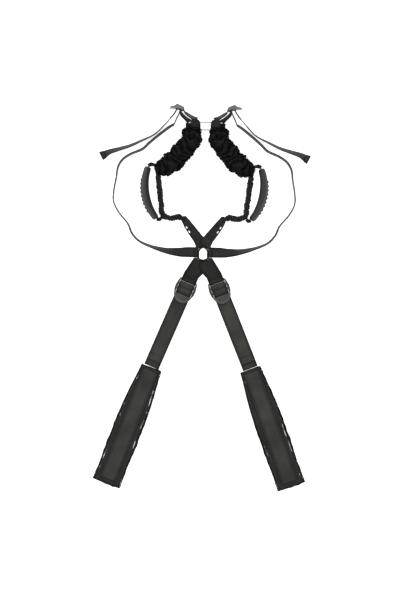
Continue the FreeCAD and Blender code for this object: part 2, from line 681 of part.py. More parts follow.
def grip(name, side):
    """Moulded curved handle with a channel for its strap and a row of teeth on the outside."""
    body = new_body(f"grip_{name}", grip_place(side))
    half = size("grip_width") / 2
    high = size("grip_height")
    start = size("grip_start")
    swept(body, grip_section(half, 0.0, high, 4.5), side, start, "sizes.grip_sweep")
    before = body.Shape.Volume
    middle = high / 2
    mid = size("grip_arc_radius")
    channel = [(mid - 1.2, middle - 8.4), (mid + 1.2, middle - 8.4), (mid + 1.2, middle + 8.4),
               (mid - 1.2, middle + 8.4)]
    swept(body, channel, side, start - 1.0, "sizes.grip_sweep + 2", "Groove")
    if body.Shape.Volume > before - 1:
        raise ValueError("the grip's channel removed nothing")
    outer = mid + half
    tooth = [(outer - 1.0, 3.5), (outer + 2.2, 5.5), (outer + 2.2, high - 5.5),
             (outer - 1.0, high - 3.5)]
    made = swept(body, tooth, side, start + 15.2, "1.9")
    pattern = body.newObject("PartDesign::PolarPattern", body.Label + "_teeth")
    pattern.Originals = [made]
    axis = next(f for f in body.Origin.OriginFeatures if f.Role == "Z_Axis")
    pattern.Axis = (axis, [""])
    pattern.Reversed = side > 0
    pattern.setExpression("Angle", "sizes.tooth_sweep")
    pattern.setExpression("Occurrences", "sizes.tooth_count")
    body.Tip = pattern
    doc.recompute()


def grip_strap(name, side):
    """Webbing through the handle, which ends in the two sewn tabs that it swings on."""
    body = new_body(f"grip_strap_{name}", grip_place(side))
    mid = size("grip_arc_radius")
    middle = size("grip_height") / 2
    band = [(mid - 0.8, middle - 8.0), (mid + 0.8, middle - 8.0), (mid + 0.8, middle + 8.0),
            (mid - 0.8, middle + 8.0)]
    swept(body, band, side, size("grip_start") - 1.8, "sizes.grip_sweep + 3.8")


# ------------------------------------------------------------------ assembly
centre_grommet()
centre_ring()
for side_name, half_sign in (("left", -1), ("right", 1)):
    layer = 0.0 if half_sign < 0 else WEB
    rail_z = layer + 2 * WEB
    core_z = rail_z + size("rail_thickness")
    lower_strap(side_name, half_sign, layer)
    upper_strap(side_name, half_sign, layer + WEB)
    leg_buckle(side_name, half_sign)
    leg_webbing(side_name, half_sign)
    leg_pad(side_name, half_sign)
    side_webbing(side_name, half_sign)
    side_buckle(side_name, half_sign)
    side_turn(side_name, half_sign)
    buckle_loop(side_name, half_sign)
    sleeve_top(side_name, half_sign)
    ring_loop(side_name, half_sign, core_z)
    plush_sleeve(side_name, half_sign, core_z)
    core_strap(side_name, half_sign, core_z)
    grip_tabs(side_name, half_sign, core_z)
    gathered_sleeve(f"gathered_sleeve_upper_{side_name}", GATHER_ROUTE[:5] + [CORNER_SPLIT],
                    GATHER_BENDS[:4], half_sign, rail_z)
    gathered_sleeve(f"gathered_sleeve_lower_{side_name}", [CORNER_SPLIT] + GATHER_ROUTE[5:],
                    GATHER_BENDS[4:], half_sign, rail_z)
    rail_strap(side_name, half_sign, rail_z)
    grip(side_name, half_sign)
    grip_strap(side_name, half_sign)
doc.recompute()

for item in doc.Objects:
    if "Invalid" in item.State or "Error" in item.State:
        raise RuntimeError(f"{item.Name} did not build: {item.State}")
os.makedirs("parts", exist_ok=True)
for piece in pieces:
    shape = piece.Shape
    if shape.isNull() or not shape.isValid():
        raise RuntimeError(f"{piece.Label} has no valid shape")
    shape.exportStep(f"parts/{piece.Label}.step")
    box = shape.BoundBox
    print(f"{piece.Label}: solids {len(shape.Solids)} volume {shape.Volume:.0f} "
          f"x {box.XMin:.1f}..{box.XMax:.1f} y {box.YMin:.1f}..{box.YMax:.1f} "
          f"z {box.ZMin:.2f}..{box.ZMax:.2f}")
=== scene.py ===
import math

import bmesh
import bpy
import numpy as np
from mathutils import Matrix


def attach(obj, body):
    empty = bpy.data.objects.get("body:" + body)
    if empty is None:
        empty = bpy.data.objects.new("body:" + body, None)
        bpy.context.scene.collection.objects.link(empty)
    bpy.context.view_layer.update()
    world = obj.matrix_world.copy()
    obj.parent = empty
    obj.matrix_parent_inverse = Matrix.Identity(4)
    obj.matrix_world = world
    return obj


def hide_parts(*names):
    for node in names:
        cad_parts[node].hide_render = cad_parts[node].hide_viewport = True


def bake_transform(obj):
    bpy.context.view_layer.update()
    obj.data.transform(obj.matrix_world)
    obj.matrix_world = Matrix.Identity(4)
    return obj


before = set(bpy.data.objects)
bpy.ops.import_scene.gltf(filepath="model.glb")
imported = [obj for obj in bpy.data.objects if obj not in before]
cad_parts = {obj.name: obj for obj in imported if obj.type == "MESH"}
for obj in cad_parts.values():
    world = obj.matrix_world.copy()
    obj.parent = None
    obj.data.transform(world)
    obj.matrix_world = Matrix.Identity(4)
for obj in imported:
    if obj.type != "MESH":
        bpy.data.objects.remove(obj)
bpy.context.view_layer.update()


# ------------------------------------------------------------------ table, lights and camera
# A white sheet that glows a little, even light from all round with two soft boxes above, and a
# camera that looks straight down at the harness with a slight roll.
MM = 0.001
SHEET_GLOW, STUDIO_LIGHT = 0.8, 0.86
TABLE_HALF, TABLE_Z = 4.0, -0.0006


def add_object(name, data):
    """An object with the mesh, light or camera, in the scene."""
    piece = bpy.data.objects.new(name, data)
    bpy.context.scene.collection.objects.link(piece)
    return piece


def new_finish(name, roughness, specular):
    """A new material, and the nodes, links and shader to build it with."""
    material = bpy.data.materials.new(name)
    material.use_nodes = True
    nodes, links = material.node_tree.nodes, material.node_tree.links
    shader = nodes["Principled BSDF"]
    shader.inputs["Roughness"].default_value = roughness
    shader.inputs["Specular IOR Level"].default_value = specular
    return material, nodes, links, shader


def noise(nodes, links, scale, detail=2.0):
    """Output of a noise laid out in the object's own coordinates."""
    place = nodes.new("ShaderNodeTexCoord")
    texture = nodes.new("ShaderNodeTexNoise")
    texture.inputs["Scale"].default_value = scale
    texture.inputs["Detail"].default_value = detail
    links.new(place.outputs["Object"], texture.inputs["Vector"])
    return texture.outputs["Fac"]


def shades_of(nodes, links, value, low, high):
    """Colour between two stops, each a position and a colour, for a value."""
    ramp = nodes.new("ShaderNodeValToRGB")
    for stop, (position, colour) in zip(ramp.color_ramp.elements, (low, high)):
        stop.position, stop.color = position, (*colour, 1)
    links.new(value, ramp.inputs["Fac"])
    return ramp.outputs["Color"]


def table_finish():
    """Matt white sheet that glows a little, with a very faint mottle."""
    material, nodes, links, shader = new_finish("table_paint", 0.9, 0.1)
    shader.inputs["Emission Color"].default_value = (1.0, 1.0, 1.0, 1)
    shader.inputs["Emission Strength"].default_value = SHEET_GLOW
    colour = shades_of(nodes, links, noise(nodes, links, 3.0), (0.0, (0.90, 0.90, 0.895)),
                       (1.0, (0.93, 0.93, 0.925)))
    links.new(colour, shader.inputs["Base Color"])
    return material


table_mesh = bpy.data.meshes.new("table_top")
table_mesh.from_pydata([(x * TABLE_HALF, y * TABLE_HALF, TABLE_Z)
                        for x, y in ((-1, -1), (1, -1), (1, 1), (-1, 1))], [], [(0, 1, 2, 3)])
table_mesh.materials.append(table_finish())
table_top = add_object("table_top", table_mesh)

studio = bpy.data.worlds.new("studio")
studio.use_nodes = True
studio.node_tree.nodes["Background"].inputs["Color"].default_value = (1.0, 1.0, 1.0, 1)
studio.node_tree.nodes["Background"].inputs["Strength"].default_value = STUDIO_LIGHT
bpy.context.scene.world = studio
bpy.context.scene.view_settings.view_transform = "Standard"

for lamp_name, spot, span, power in (("soft_box", (-0.7, 0.9, 2.6), 1.6, 26.0),
                                     ("fill_box", (1.4, -0.9, 2.2), 1.4, 9.0)):
    lamp = bpy.data.lights.new(lamp_name, "AREA")
    lamp.size = span
    lamp.energy = power
    lamp_object = add_object(lamp_name, lamp)
    lamp_object.location = spot
    aim = math.atan2(math.hypot(spot[0], spot[1]), spot[2])
    lamp_object.rotation_euler = (0, aim, math.atan2(spot[1], spot[0]))

VIEW_TALL = 1.458
LENS = 100.0
SENSOR = 36.0
ROLL = math.radians(1.1)
RIGHT_SHIFT, UP_SHIFT = -0.0055, -0.0061
FOCUS_HIGH = 8 * MM
camera_data = bpy.data.cameras.new("camera")
camera_data.lens = LENS
camera_data.sensor_width = SENSOR
camera_data.clip_end = 100.0
camera = add_object("camera", camera_data)
camera.location = (RIGHT_SHIFT * math.cos(ROLL) - UP_SHIFT * math.sin(ROLL),
                   RIGHT_SHIFT * math.sin(ROLL) + UP_SHIFT * math.cos(ROLL),
                   VIEW_TALL * LENS / SENSOR + FOCUS_HIGH)
camera.rotation_euler = (0, 0, ROLL)
bpy.context.scene.camera = camera


# ------------------------------------------------------------------ lower straps
# Two lengths of 38 mm polyester webbing cross at the middle of the harness.  Each goes down to a
# leg buckle, wraps round its fixed bar and is sewn back on itself.
WEB = 1.6 * MM
SIDES = (("left", -1), ("right", 1))


def smooth_route(points, step):
    """A curve through the points, sampled evenly: between two points it is the cubic whose slope
    at each is half the way from the point before to the point after (Catmull-Rom)."""
    p = np.asarray(points, float)
    ends = np.vstack([2 * p[0] - p[1], p, 2 * p[-1] - p[-2]])
    share = np.linspace(0, 1, 40, endpoint=False)[:, None, None]
    a, b, c, d = (ends[i:len(ends) - 3 + i][None] for i in range(4))
    dense = 0.5 * (2 * b + (c - a) * share + (2 * a - 5 * b + 4 * c - d) * share ** 2
                   + (3 * b - a - 3 * c + d) * share ** 3)
    dense = np.vstack([dense.transpose(1, 0, 2).reshape(-1, p.shape[1]), p[-1:]])
    gone = np.concatenate([[0], np.cumsum(np.linalg.norm(np.diff(dense, axis=0), axis=1))])
    even = np.linspace(0, gone[-1], max(3, int(round(gone[-1] / step)) + 1))
    return np.stack([np.interp(even, gone, dense[:, k]) for k in range(p.shape[1])], axis=1)


def lengths_along(path):
    """Distance from the start of the path to each of its points."""
    return np.concatenate([[0], np.cumsum(np.linalg.norm(np.diff(path, axis=0), axis=1))])


def headings(path):
    """Unit direction of travel at each point of a path, by central differences."""
    way = np.gradient(path, axis=0)
    return way / np.linalg.norm(way, axis=1)[:, None]


def ring_faces(rows, around):
    """Quads between each row of a closed ring of points and the next, and a face on each end."""
    r, k = np.meshgrid(np.arange(rows - 1), np.arange(around), indexing="ij")
    nxt = (k + 1) % around
    quads = np.stack([r * around + k, r * around + nxt, (r + 1) * around + nxt,
                      (r + 1) * around + k], axis=-1).reshape(-1, 4).tolist()
    last = (rows - 1) * around
    return quads + [list(range(around))[::-1], list(range(last, last + around))]


def make_piece(name, material, points, faces, uv=None):
    """An object at the origin whose mesh holds the points and faces, with its faces turned
    outwards.  uv gives each point's place on the cloth, in metres, and for webbing its share of
    the way from the middle line to a selvedge."""
    mesh = bpy.data.meshes.new(name)
    mesh.from_pydata(np.asarray(points).tolist(), [], faces)
    if uv is not None:
        corners = np.empty(len(mesh.loops), int)
        mesh.loops.foreach_get("vertex_index", corners)
        spread = np.asarray(uv, float)[corners]
        mesh.uv_layers.new(name="cloth").data.foreach_set("uv", spread[:, :2].ravel())
        if spread.shape[1] > 2:
            share = np.column_stack([spread[:, 2], np.zeros(len(spread))])
            mesh.uv_layers.new(name="selvedge").data.foreach_set("uv", share.ravel())
    shaped = bmesh.new()
    shaped.from_mesh(mesh)
    bmesh.ops.recalc_face_normals(shaped, faces=shaped.faces)
    shaped.to_mesh(mesh)
    shaped.free()
    mesh.polygons.foreach_set("use_smooth", np.full(len(mesh.polygons), True))
    mesh.materials.append(material)
    mesh.update()
    return add_object(name, mesh)


def webbing_section(width, thick):
    """Section of webbing, (across, through): flat faces and thin rounded selvedges."""
    a = np.array([-1.0, -0.965, -0.5, 0.0, 0.5, 0.965, 1.0])
    b = np.array([0.35, 1.0, 0.96, 1.0, 0.96, 1.0, 0.35])
    top = np.stack([a * width / 2, b * thick / 2], axis=1)
    return np.vstack([top, top[::-1] * (1, -1)])


def webbing_mesh(path, across, width, thick):
    """Points, faces and cloth places of a band: at each path point the webbing section is laid
    out along the across direction and along travel x across.  width may vary along the path."""
    width = np.broadcast_to(np.asarray(width, float), len(path))
    section = webbing_section(1.0, 1.0)
    way = headings(path)
    across = np.broadcast_to(np.asarray(across, float), path.shape)
    across = across / np.linalg.norm(across, axis=1)[:, None]
    through = np.cross(way, across)
    through /= np.linalg.norm(through, axis=1)[:, None]
    points = (path[:, None] + across[:, None] * section[None, :, :1] * width[:, None, None]
              + through[:, None] * section[None, :, 1:] * thick)
    gone = lengths_along(path)
    uv = np.stack(np.broadcast_arrays(gone[:, None], section[None, :, 0] * width[:, None],
                                      section[None, :, 0] * 2), axis=-1)
    return points.reshape(-1, 3), ring_faces(len(path), len(section)), uv.reshape(-1, 3)


def between_edges(first, second, low, thick, count):
    """Flat webbing between two edges drawn on the table: edge points at equal shares of their
    lengths are joined straight across, at height low, one thickness up."""
    def shared(edge):
        """The edge's points at equal shares of its length."""
        edge = np.asarray(edge, float)
        gone = lengths_along(edge)
        at = np.linspace(0, gone[-1], count)
        return np.stack([np.interp(at, gone, edge[:, k]) for k in range(2)], axis=1)
    a, b = shared(first), shared(second)
    middle = (a + b) / 2
    half = (b - a) / 2
    section = webbing_section(2.0, 1.0)
    flat = middle[:, None] + half[:, None] * section[None, :, :1]
    up = low + thick / 2 + np.broadcast_to(section[None, :, 1:] * thick, flat.shape[:2] + (1,))
    wide = np.linalg.norm(half, axis=1)
    uv = np.stack(np.broadcast_arrays(lengths_along(middle)[:, None],
                                      section[None, :, 0] * wide[:, None],
                                      section[None, :, 0]), axis=-1)
    points = np.concatenate([flat, up], axis=2).reshape(-1, 3)
    return points, ring_faces(count, len(section)), uv.reshape(-1, 3)


def joined(*parts):
    """Several sets of points, faces and cloth places as one."""
    points = np.vstack([p for p, _, _ in parts])
    uv = np.vstack([u for _, _, u in parts])
    faces, start = [], 0
    for p, f, _ in parts:
        faces += [[i + start for i in face] for face in f]
        start += len(p)
    return points, faces, uv


def placed(parts, place, side):
    """Points, faces and cloth places with the points carried into the harness by place."""
    points, faces, uv = parts
    return place(points, side), faces, uv


def add_bump(nodes, links, shader, height, strength, distance):
    """Bumps from a height value, on the shader's normal."""
    bump = nodes.new("ShaderNodeBump")
    bump.inputs["Strength"].default_value = strength
    bump.inputs["Distance"].default_value = distance
    links.new(height, bump.inputs["Height"])
    links.new(bump.outputs["Normal"], shader.inputs["Normal"])


def cloth_place(nodes, links, layer):
    """The two parts of a piece's place on a UV layer."""
    place = nodes.new("ShaderNodeUVMap")
    place.uv_map = layer
    parts = nodes.new("ShaderNodeSeparateXYZ")
    links.new(place.outputs["UV"], parts.inputs["Vector"])
    return parts.outputs


# Sockets of the colour kind of mix node, which shares their names with its other kinds.
MIX_FACTOR, MIX_A, MIX_B, MIX_RESULT = 0, 6, 7, 2


def webbing_finish(name, colour, pale, specular, ribs=1.4 * MM):
    """Woven webbing: crosswise ribs cut by lengthwise rows of threads, in two close shades, with
    a slow change of shade along the strap, and painted shade darkening both selvedges."""
    material, nodes, links, shader = new_finish(name, 0.62, specular)
    shader.inputs["Sheen Weight"].default_value = 0.015
    shader.inputs["Sheen Roughness"].default_value = 0.4
    cloth = nodes.new("ShaderNodeUVMap")
    cloth.uv_map = "cloth"
    threads = nodes.new("ShaderNodeMath")
    threads.operation = "MULTIPLY"
    wave_turn = 2 * math.pi / 20
    for slot, direction, pitch in ((0, "X", ribs), (1, "Y", ribs * 1.7)):
        wave = nodes.new("ShaderNodeTexWave")
        wave.bands_direction = direction
        wave.inputs["Scale"].default_value = wave_turn / pitch
        wave.inputs["Distortion"].default_value = 0.6
        links.new(cloth.outputs["UV"], wave.inputs["Vector"])
        links.new(wave.outputs["Fac"], threads.inputs[slot])
    shade = nodes.new("ShaderNodeMath")
    shade.operation = "MULTIPLY_ADD"
    shade.inputs[1].default_value = 0.45
    links.new(threads.outputs[0], shade.inputs[0])
    links.new(noise(nodes, links, 22.0, 3.0), shade.inputs[2])
    woven = shades_of(nodes, links, shade.outputs[0], (0.3, colour), (0.95, pale))
    # Painted shade: near each selvedge the colour is mixed towards near black, for the shade along
    # the strap's edges.
    distance = nodes.new("ShaderNodeMath")
    distance.operation = "ABSOLUTE"
    links.new(cloth_place(nodes, links, "selvedge")["X"], distance.inputs[0])
    bound = nodes.new("ShaderNodeMapRange")
    for word, value in (("From Min", 0.55), ("From Max", 0.95), ("To Min", 0.0), ("To Max", 0.8)):
        bound.inputs[word].default_value = value
    links.new(distance.outputs[0], bound.inputs["Value"])
    selvedge_shade = nodes.new("ShaderNodeMix")
    selvedge_shade.data_type = "RGBA"
    selvedge_shade.inputs[MIX_B].default_value = (0.002, 0.002, 0.002, 1)
    links.new(bound.outputs["Result"], selvedge_shade.inputs[MIX_FACTOR])
    links.new(woven, selvedge_shade.inputs[MIX_A])
    links.new(selvedge_shade.outputs[MIX_RESULT], shader.inputs["Base Color"])
    add_bump(nodes, links, shader, threads.outputs[0], 0.5, 0.0003)
    return material


def flipped(edge, side):
    """Points given as (out, y) in millimetres, in metres on the given side."""
    return np.array([(side * out, y) for out, y in edge], float) * MM


def in_place(points, origin, angle):
    """Points of a turned part in the harness: turned about +Z by the angle, then moved."""
    c, s = math.cos(angle), math.sin(angle)
    turned = np.stack([points[:, 0] * c - points[:, 1] * s, points[:, 0] * s + points[:, 1] * c,
                       points[:, 2]], axis=1)
    return turned + np.asarray(origin)


LEG_ANGLE = math.radians(22.5)
BAR = (33.8 * MM, 39.0 * MM)
HALF_WIDE = 19.0 * MM
cross_webbing = webbing_finish("cross_webbing", (0.006, 0.006, 0.0052), (0.020, 0.0205, 0.018),
                               0.14)
stitch_thread = webbing_finish("stitch_thread", (0.05, 0.05, 0.047), (0.09, 0.09, 0.085), 0.2)


def leg_place(points, side):
    """Points of the leg frame, whose +Y runs up the strap from the fixed bar, in the harness."""
    return in_place(points, (side * BAR[0], BAR[1], 0), side * LEG_ANGLE)


def profile_strap(route, width, thick, side, step=1.5 * MM):
    """Webbing whose side view is a route in (along, z) of the leg frame, across its X."""
    line = smooth_route(np.array(route) * MM, step)
    path = np.stack([np.zeros(len(line)), line[:, 0], line[:, 1]], axis=1)
    return placed(webbing_mesh(path, (1.0, 0.0, 0.0), width, thick), leg_place, side)


LOWER_INNER = [(12.8, 96.4), (12.8, 92.2), (5.6, 90.6), (0.0, 88.2), (-6.5, 84.5), (-9.7, 80.0),
               (-9.7, 73.0), (-5.0, 64.5), (0.0, 57.0)]
SEWN_AT = 16 * MM
for side_name, side in SIDES:
    low = 0.0 if side < 0 else WEB
    ends = np.array([(-side * HALF_WIDE, SEWN_AT, 0), (side * HALF_WIDE, SEWN_AT, 0)])
    corner = leg_place(ends, side)
    inner = np.vstack([flipped(LOWER_INNER, side), corner[:1, :2]])
    outer = np.vstack([flipped([(22.6, 96.4)], side), corner[1:, :2]])
    flat = between_edges(inner, outer, low, WEB, 60)
    start = (low + WEB / 2) / MM
    wrap = [(16.5, start), (11.0, start + 0.4), (5.5, 7.6), (1.6, 8.55), (-2.4, 7.4), (-4.1, 4.6),
            (-2.4, 1.9), (1.6, 0.9), (6.0, 0.8 if low == 0 else 1.0)]
    loop = profile_strap(wrap, 2 * HALF_WIDE, WEB, side, 0.8 * MM)
    strap = make_piece(f"lower_strap_web_{side_name}", cross_webbing, *joined(flat, loop))
    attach(strap, "harness")
    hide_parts(f"lower_strap_{side_name}")


# ------------------------------------------------------------------ upper straps
# Two narrower straps run from the gathered runs to the crossing, folded back beside its hole,
# with a pair of slots for a lead and rows of box stitching where the layers are sewn together.
UPPER_INNER = [(43.0, 197.5), (31.0, 184.0), (16.5, 167.0), (0.0, 147.4), (-7.3, 140.2),
               (-8.9, 136.0), (-7.0, 131.0), (0.0, 124.9), (7.8, 121.4), (11.9, 117.0),
               (12.9, 112.2), (12.9, 97.0)]
UPPER_OUTER = [(50.5, 197.5), (52.4, 190.0), (53.3, 184.0), (47.0, 170.0), (36.5, 154.0),
               (23.0, 135.0), (18.4, 124.0), (19.0, 117.0), (20.5, 110.0), (20.5, 97.0)]
CHEVRONS = ([(-1.0, 144.5), (9.5, 133.5), (20.0, 133.0)],
            [(1.5, 147.5), (11.5, 137.5), (22.0, 137.0)],
            [(16.7, 118.0), (16.7, 100.0)], [(30.0, 150.0), (20.0, 157.5)],
            [(44.0, 193.0), (38.0, 184.0), (45.5, 178.0), (50.5, 187.0), (44.0, 193.0)])
SLOTS = ((41.2, 169.6), (34.6, 159.4))
BEAD = 0.5 * MM
THREAD = 0.7 * MM


def at_height(line, high):
    """A flat line as points in space, at one height or at a height for each point."""
    return np.column_stack([line, np.broadcast_to(high, len(line))])


def squarer(wave, power):
    """A wave between -1 and 1 whose size is raised to a power and whose sign is kept."""
    return np.sign(wave) * np.abs(wave) ** power


def laid_round(line, outwards, off, high):
    """Rings of points along a flat line, each off along the outwards direction, at height high:
    both are tables with a row for each point of the line, or one row for all of them."""
    flat = line[:, None] + outwards[:, None] * np.atleast_2d(off)[..., None]
    high = np.broadcast_to(high, flat.shape[:2])
    return np.concatenate([flat, high[..., None]], axis=2).reshape(-1, 3)


def loop_faces(rows, around):
    """Quads over a closed loop of closed rings of points."""
    r, k = np.meshgrid(np.arange(rows), np.arange(around), indexing="ij")
    ahead, nxt = (r + 1) % rows * around, (k + 1) % around
    return np.stack([r * around + k, r * around + nxt, ahead + nxt, ahead + k],
                    axis=-1).reshape(-1, 4).tolist()


def stitch_row(path, length, pitch):
    """Thread stitches along a path: six-sided spindles, each lying along the path's direction."""
    gone = lengths_along(path)
    at = np.arange(pitch / 2, gone[-1], pitch)
    spots = np.stack([np.interp(at, gone, path[:, k]) for k in range(3)], axis=1)
    way = headings(path)
    ways = np.stack([np.interp(at, gone, way[:, k]) for k in range(3)], axis=1)
    ways /= np.linalg.norm(ways, axis=1)[:, None]
    side = np.cross(ways, (0.0, 0.0, 1.0))
    side /= np.linalg.norm(side, axis=1)[:, None]
    up = np.cross(side, ways)
    turn = np.arange(6) * np.pi / 3
    along = np.array([-0.5, -0.3, 0.3, 0.5]) * length
    fat = np.array([0.25, 1.0, 1.0, 0.25]) * THREAD / 2
    ring = (ways[:, None, None] * along[None, :, None, None]
            + side[:, None, None] * (fat[:, None] * np.cos(turn))[None, :, :, None]
            + up[:, None, None] * (fat[:, None] * np.sin(turn))[None, :, :, None])
    points = spots[:, None, None] + ring
    one = ring_faces(4, 6)
    faces = [[i + 24 * n for i in face] for n in range(len(spots)) for face in one]
    points = points.reshape(-1, 3)
    return points, faces, np.zeros((len(points), 3))


def shaped_mesh(piece):
    """A new mesh of the piece as its modifiers leave it."""
    graph = bpy.context.evaluated_depsgraph_get()
    return bpy.data.meshes.new_from_object(piece.evaluated_get(graph))


def apply_modifiers(piece):
    """Gives the piece the mesh that its modifiers make, and takes them off."""
    mesh = shaped_mesh(piece)
    piece.modifiers.clear()
    piece.data = mesh
    return mesh


def slot_rim(out, y, side, low):
    """Bound rim of a slot: a small half-round bead round a stadium, proud of the strap."""
    turn = np.linspace(0, 2 * np.pi, 28, endpoint=False)
    tilt = math.radians(58)
    long, wide = 3.6 * squarer(np.cos(turn), 0.6), 1.9 * np.sin(turn)
    flat = np.stack([side * (out + long * math.cos(tilt) - wide * math.sin(tilt)),
                     y + long * math.sin(tilt) + wide * math.cos(tilt)], axis=1) * MM
    small = np.arange(6) * np.pi / 3
    outwards = flat - flat.mean(axis=0)
    outwards /= np.linalg.norm(outwards, axis=1)[:, None]
    points = laid_round(flat, outwards, BEAD * np.cos(small), low + WEB + BEAD * np.sin(small))
    return points, loop_faces(28, 6), np.zeros((len(points), 3))


for side_name, side in SIDES:
    low = WEB if side < 0 else 2 * WEB
    flat = between_edges(flipped(UPPER_INNER, side), flipped(UPPER_OUTER, side), low, WEB, 110)
    strap = make_piece(f"upper_strap_web_{side_name}", cross_webbing, *flat)
    punches = [webbing_mesh(np.array([(side * (x + 1.6), y + 2.6, 2.4),
                                      (side * (x - 1.6), y - 2.6, 2.4)]) * MM,
                            (side * 0.85, -0.52, 0.0), 3.0 * MM, 8 * MM) for x, y in SLOTS]
    cutter = make_piece(f"slot_cutter_{side_name}", cross_webbing, *joined(*punches)[:2])
    cut = strap.modifiers.new("slots", "BOOLEAN")
    cut.operation = "DIFFERENCE"
    cut.object = cutter
    bpy.context.view_layer.update()
    apply_modifiers(strap)
    bpy.data.objects.remove(cutter)
    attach(strap, "harness")
    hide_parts(f"upper_strap_{side_name}")
    rows = []
    for row in CHEVRONS:
        line = at_height(flipped(row, side), low + WEB)
        dense = np.vstack([np.linspace(a, b, 12, endpoint=False) for a, b in zip(line, line[1:])])
        rows.append(stitch_row(dense, 2.4 * MM, 3.0 * MM))
    rows += [slot_rim(x, y, side, low) for x, y in SLOTS]
    sewn = make_piece(f"upper_strap_stitches_{side_name}", stitch_thread, *joined(*rows))
    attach(sewn, "harness")


# ------------------------------------------------------------------ centre grommet
# A stiff rim of moulded rubber bound into the crossing keeps its six-sided hole open.
GROMMET_HOLE = [(0.0, 120.6), (5.4, 117.8), (9.2, 111.6), (9.2, 95.6), (4.4, 93.6), (0.0, 92.2),
                (-4.4, 93.6), (-9.2, 95.6), (-9.2, 111.6), (-5.4, 117.8)]
RIM_WIDE, RIM_HIGH = 4.4 * MM, 5.9 * MM


def moulded_finish(name, colour, roughness, specular, grain=900.0):
    """Moulded plastic or rubber: one colour with a faint mottle and a fine leathery grain."""
    material, nodes, links, shader = new_finish(name, roughness, specular)
    mottled = shades_of(nodes, links, noise(nodes, links, 45.0, 4.0),
                        (0.3, [c * 0.72 for c in colour]), (0.75, [c * 1.3 for c in colour]))
    links.new(mottled, shader.inputs["Base Color"])
    add_bump(nodes, links, shader, noise(nodes, links, grain), 0.25, 0.0002)
    return material


def loop_outwards(loop):
    """Unit direction square to a closed flat loop at each of its points, away from its middle."""
    step = np.roll(loop, -1, axis=0) - np.roll(loop, 1, axis=0)
    away = np.stack([step[:, 1], -step[:, 0]], axis=1)
    away /= np.linalg.norm(away, axis=1)[:, None]
    return away * np.sign(((loop - loop.mean(axis=0)) * away).sum(axis=1).mean())


def closed_route(points, count):
    """A closed outline sampled evenly, with each corner eased by averaging it with its
    neighbours."""
    loop = np.vstack([points, points[:1]])
    gone = lengths_along(loop)
    at = np.linspace(0, gone[-1], count, endpoint=False)
    even = np.stack([np.interp(at, gone, loop[:, k]) for k in range(2)], axis=1)
    return (np.roll(even, 1, axis=0) + 2 * even + np.roll(even, -1, axis=0)) / 4


rim_inner = closed_route(flipped(GROMMET_HOLE, 1), 72)
away = loop_outwards(rim_inner)
turn = np.arange(12) * np.pi / 6
rim_across = RIM_WIDE / 2 * (1 + squarer(np.cos(turn), 0.6))
rim_up = RIM_HIGH / 2 * (1 + squarer(np.sin(turn), 0.6))
rim_points = laid_round(rim_inner, away, rim_across, rim_up)
grommet = make_piece("centre_rim", moulded_finish("rim_rubber", (0.006, 0.006, 0.006), 0.6, 0.12),
                     rim_points, loop_faces(72, 12))
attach(grommet, "harness")
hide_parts("centre_grommet")


# ------------------------------------------------------------------ leg buckles
# Ladder-lock buckles moulded in satin plastic: two side rails, a round bar that the lower strap
# wraps, a toothed bar that grips the webbing and a D-shaped thumb tab.
buckle_plastic = moulded_finish("buckle_plastic", (0.013, 0.013, 0.012), 0.38, 0.42)
# The thumb tab's paler copy of the same plastic is a painted highlight, for the soft box's
# reflection on its flat top.
tab_painted_highlight = moulded_finish("tab_painted_highlight", (0.042, 0.042, 0.040), 0.45, 0.4)
TAB_FROM = -37.0 * MM
RIDGES = ((-41.0, 15.5), (-44.5, 14.0), (-48.0, 11.5))


def triples(items, word):
    """The three numbers under a word of each of a mesh's items, one row for each item."""
    values = np.empty(len(items) * 3)
    items.foreach_get(word, values)
    return values.reshape(-1, 3)


def eased_copy(node_name, name, material, width, cut_at=None, cut_way=None):
    """The node's own shape as one closed mesh, with its flat faces joined, then divided by the
    plane through cut_at square to cut_way, and its edges rounded by the given width."""
    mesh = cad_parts[node_name].data.copy()
    shaped = bmesh.new()
    shaped.from_mesh(mesh)
    bmesh.ops.remove_doubles(shaped, verts=shaped.verts, dist=1e-6)
    bmesh.ops.dissolve_limit(shaped, angle_limit=math.radians(1), verts=shaped.verts,
                             edges=shaped.edges)
    if cut_at is not None:
        bmesh.ops.bisect_plane(shaped, geom=[*shaped.verts, *shaped.edges, *shaped.faces],
                               plane_co=cut_at, plane_no=cut_way)
    bmesh.ops.recalc_face_normals(shaped, faces=shaped.faces)
    shaped.to_mesh(mesh)
    shaped.free()
    mesh.materials.clear()
    mesh.materials.append(material)
    piece = add_object(name, mesh)
    ease = piece.modifiers.new("eased_edges", "BEVEL")
    ease.width = width
    ease.segments = 2
    ease.limit_method = "ANGLE"
    ease.angle_limit = math.radians(35)
    return piece


for side_name, side in SIDES:
    body = f"leg_adjuster_{side_name}"
    buckle = eased_copy(f"leg_buckle_{side_name}", f"leg_buckle_body_{side_name}", buckle_plastic,
                        0.5 * MM, leg_place(np.array([(0.0, TAB_FROM, 0.0)]), side)[0],
                        (side * math.sin(LEG_ANGLE), -math.cos(LEG_ANGLE), 0.0))
    # Faces beyond the cut across the tab take the paler plastic: painted highlight on the thumb
    # tab.
    buckle.data.materials.append(tab_painted_highlight)
    middles = triples(buckle.data.polygons, "center")[:, :2] - (side * BAR[0], BAR[1])
    down = middles @ (side * math.sin(LEG_ANGLE), -math.cos(LEG_ANGLE))
    buckle.data.polygons.foreach_set("material_index", (down > -TAB_FROM).astype(int))
    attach(buckle, body)
    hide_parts(f"leg_buckle_{side_name}")
    ribs = []
    for y, half in RIDGES:
        line = at_height(np.column_stack([np.linspace(-half, half, 14), np.full(14, y)]), 8.7) * MM
        line[:, 1] += 0.0016 * (line[:, 0] / (half * MM)) ** 2
        rib = webbing_mesh(line, (0.0, 1.0, 0.0), 1.5 * MM, 1.2 * MM)
        ribs.append(placed(rib, leg_place, side))
    grips = make_piece(f"leg_buckle_ridges_{side_name}", buckle_plastic, *joined(*ribs)[:2])
    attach(grips, body)


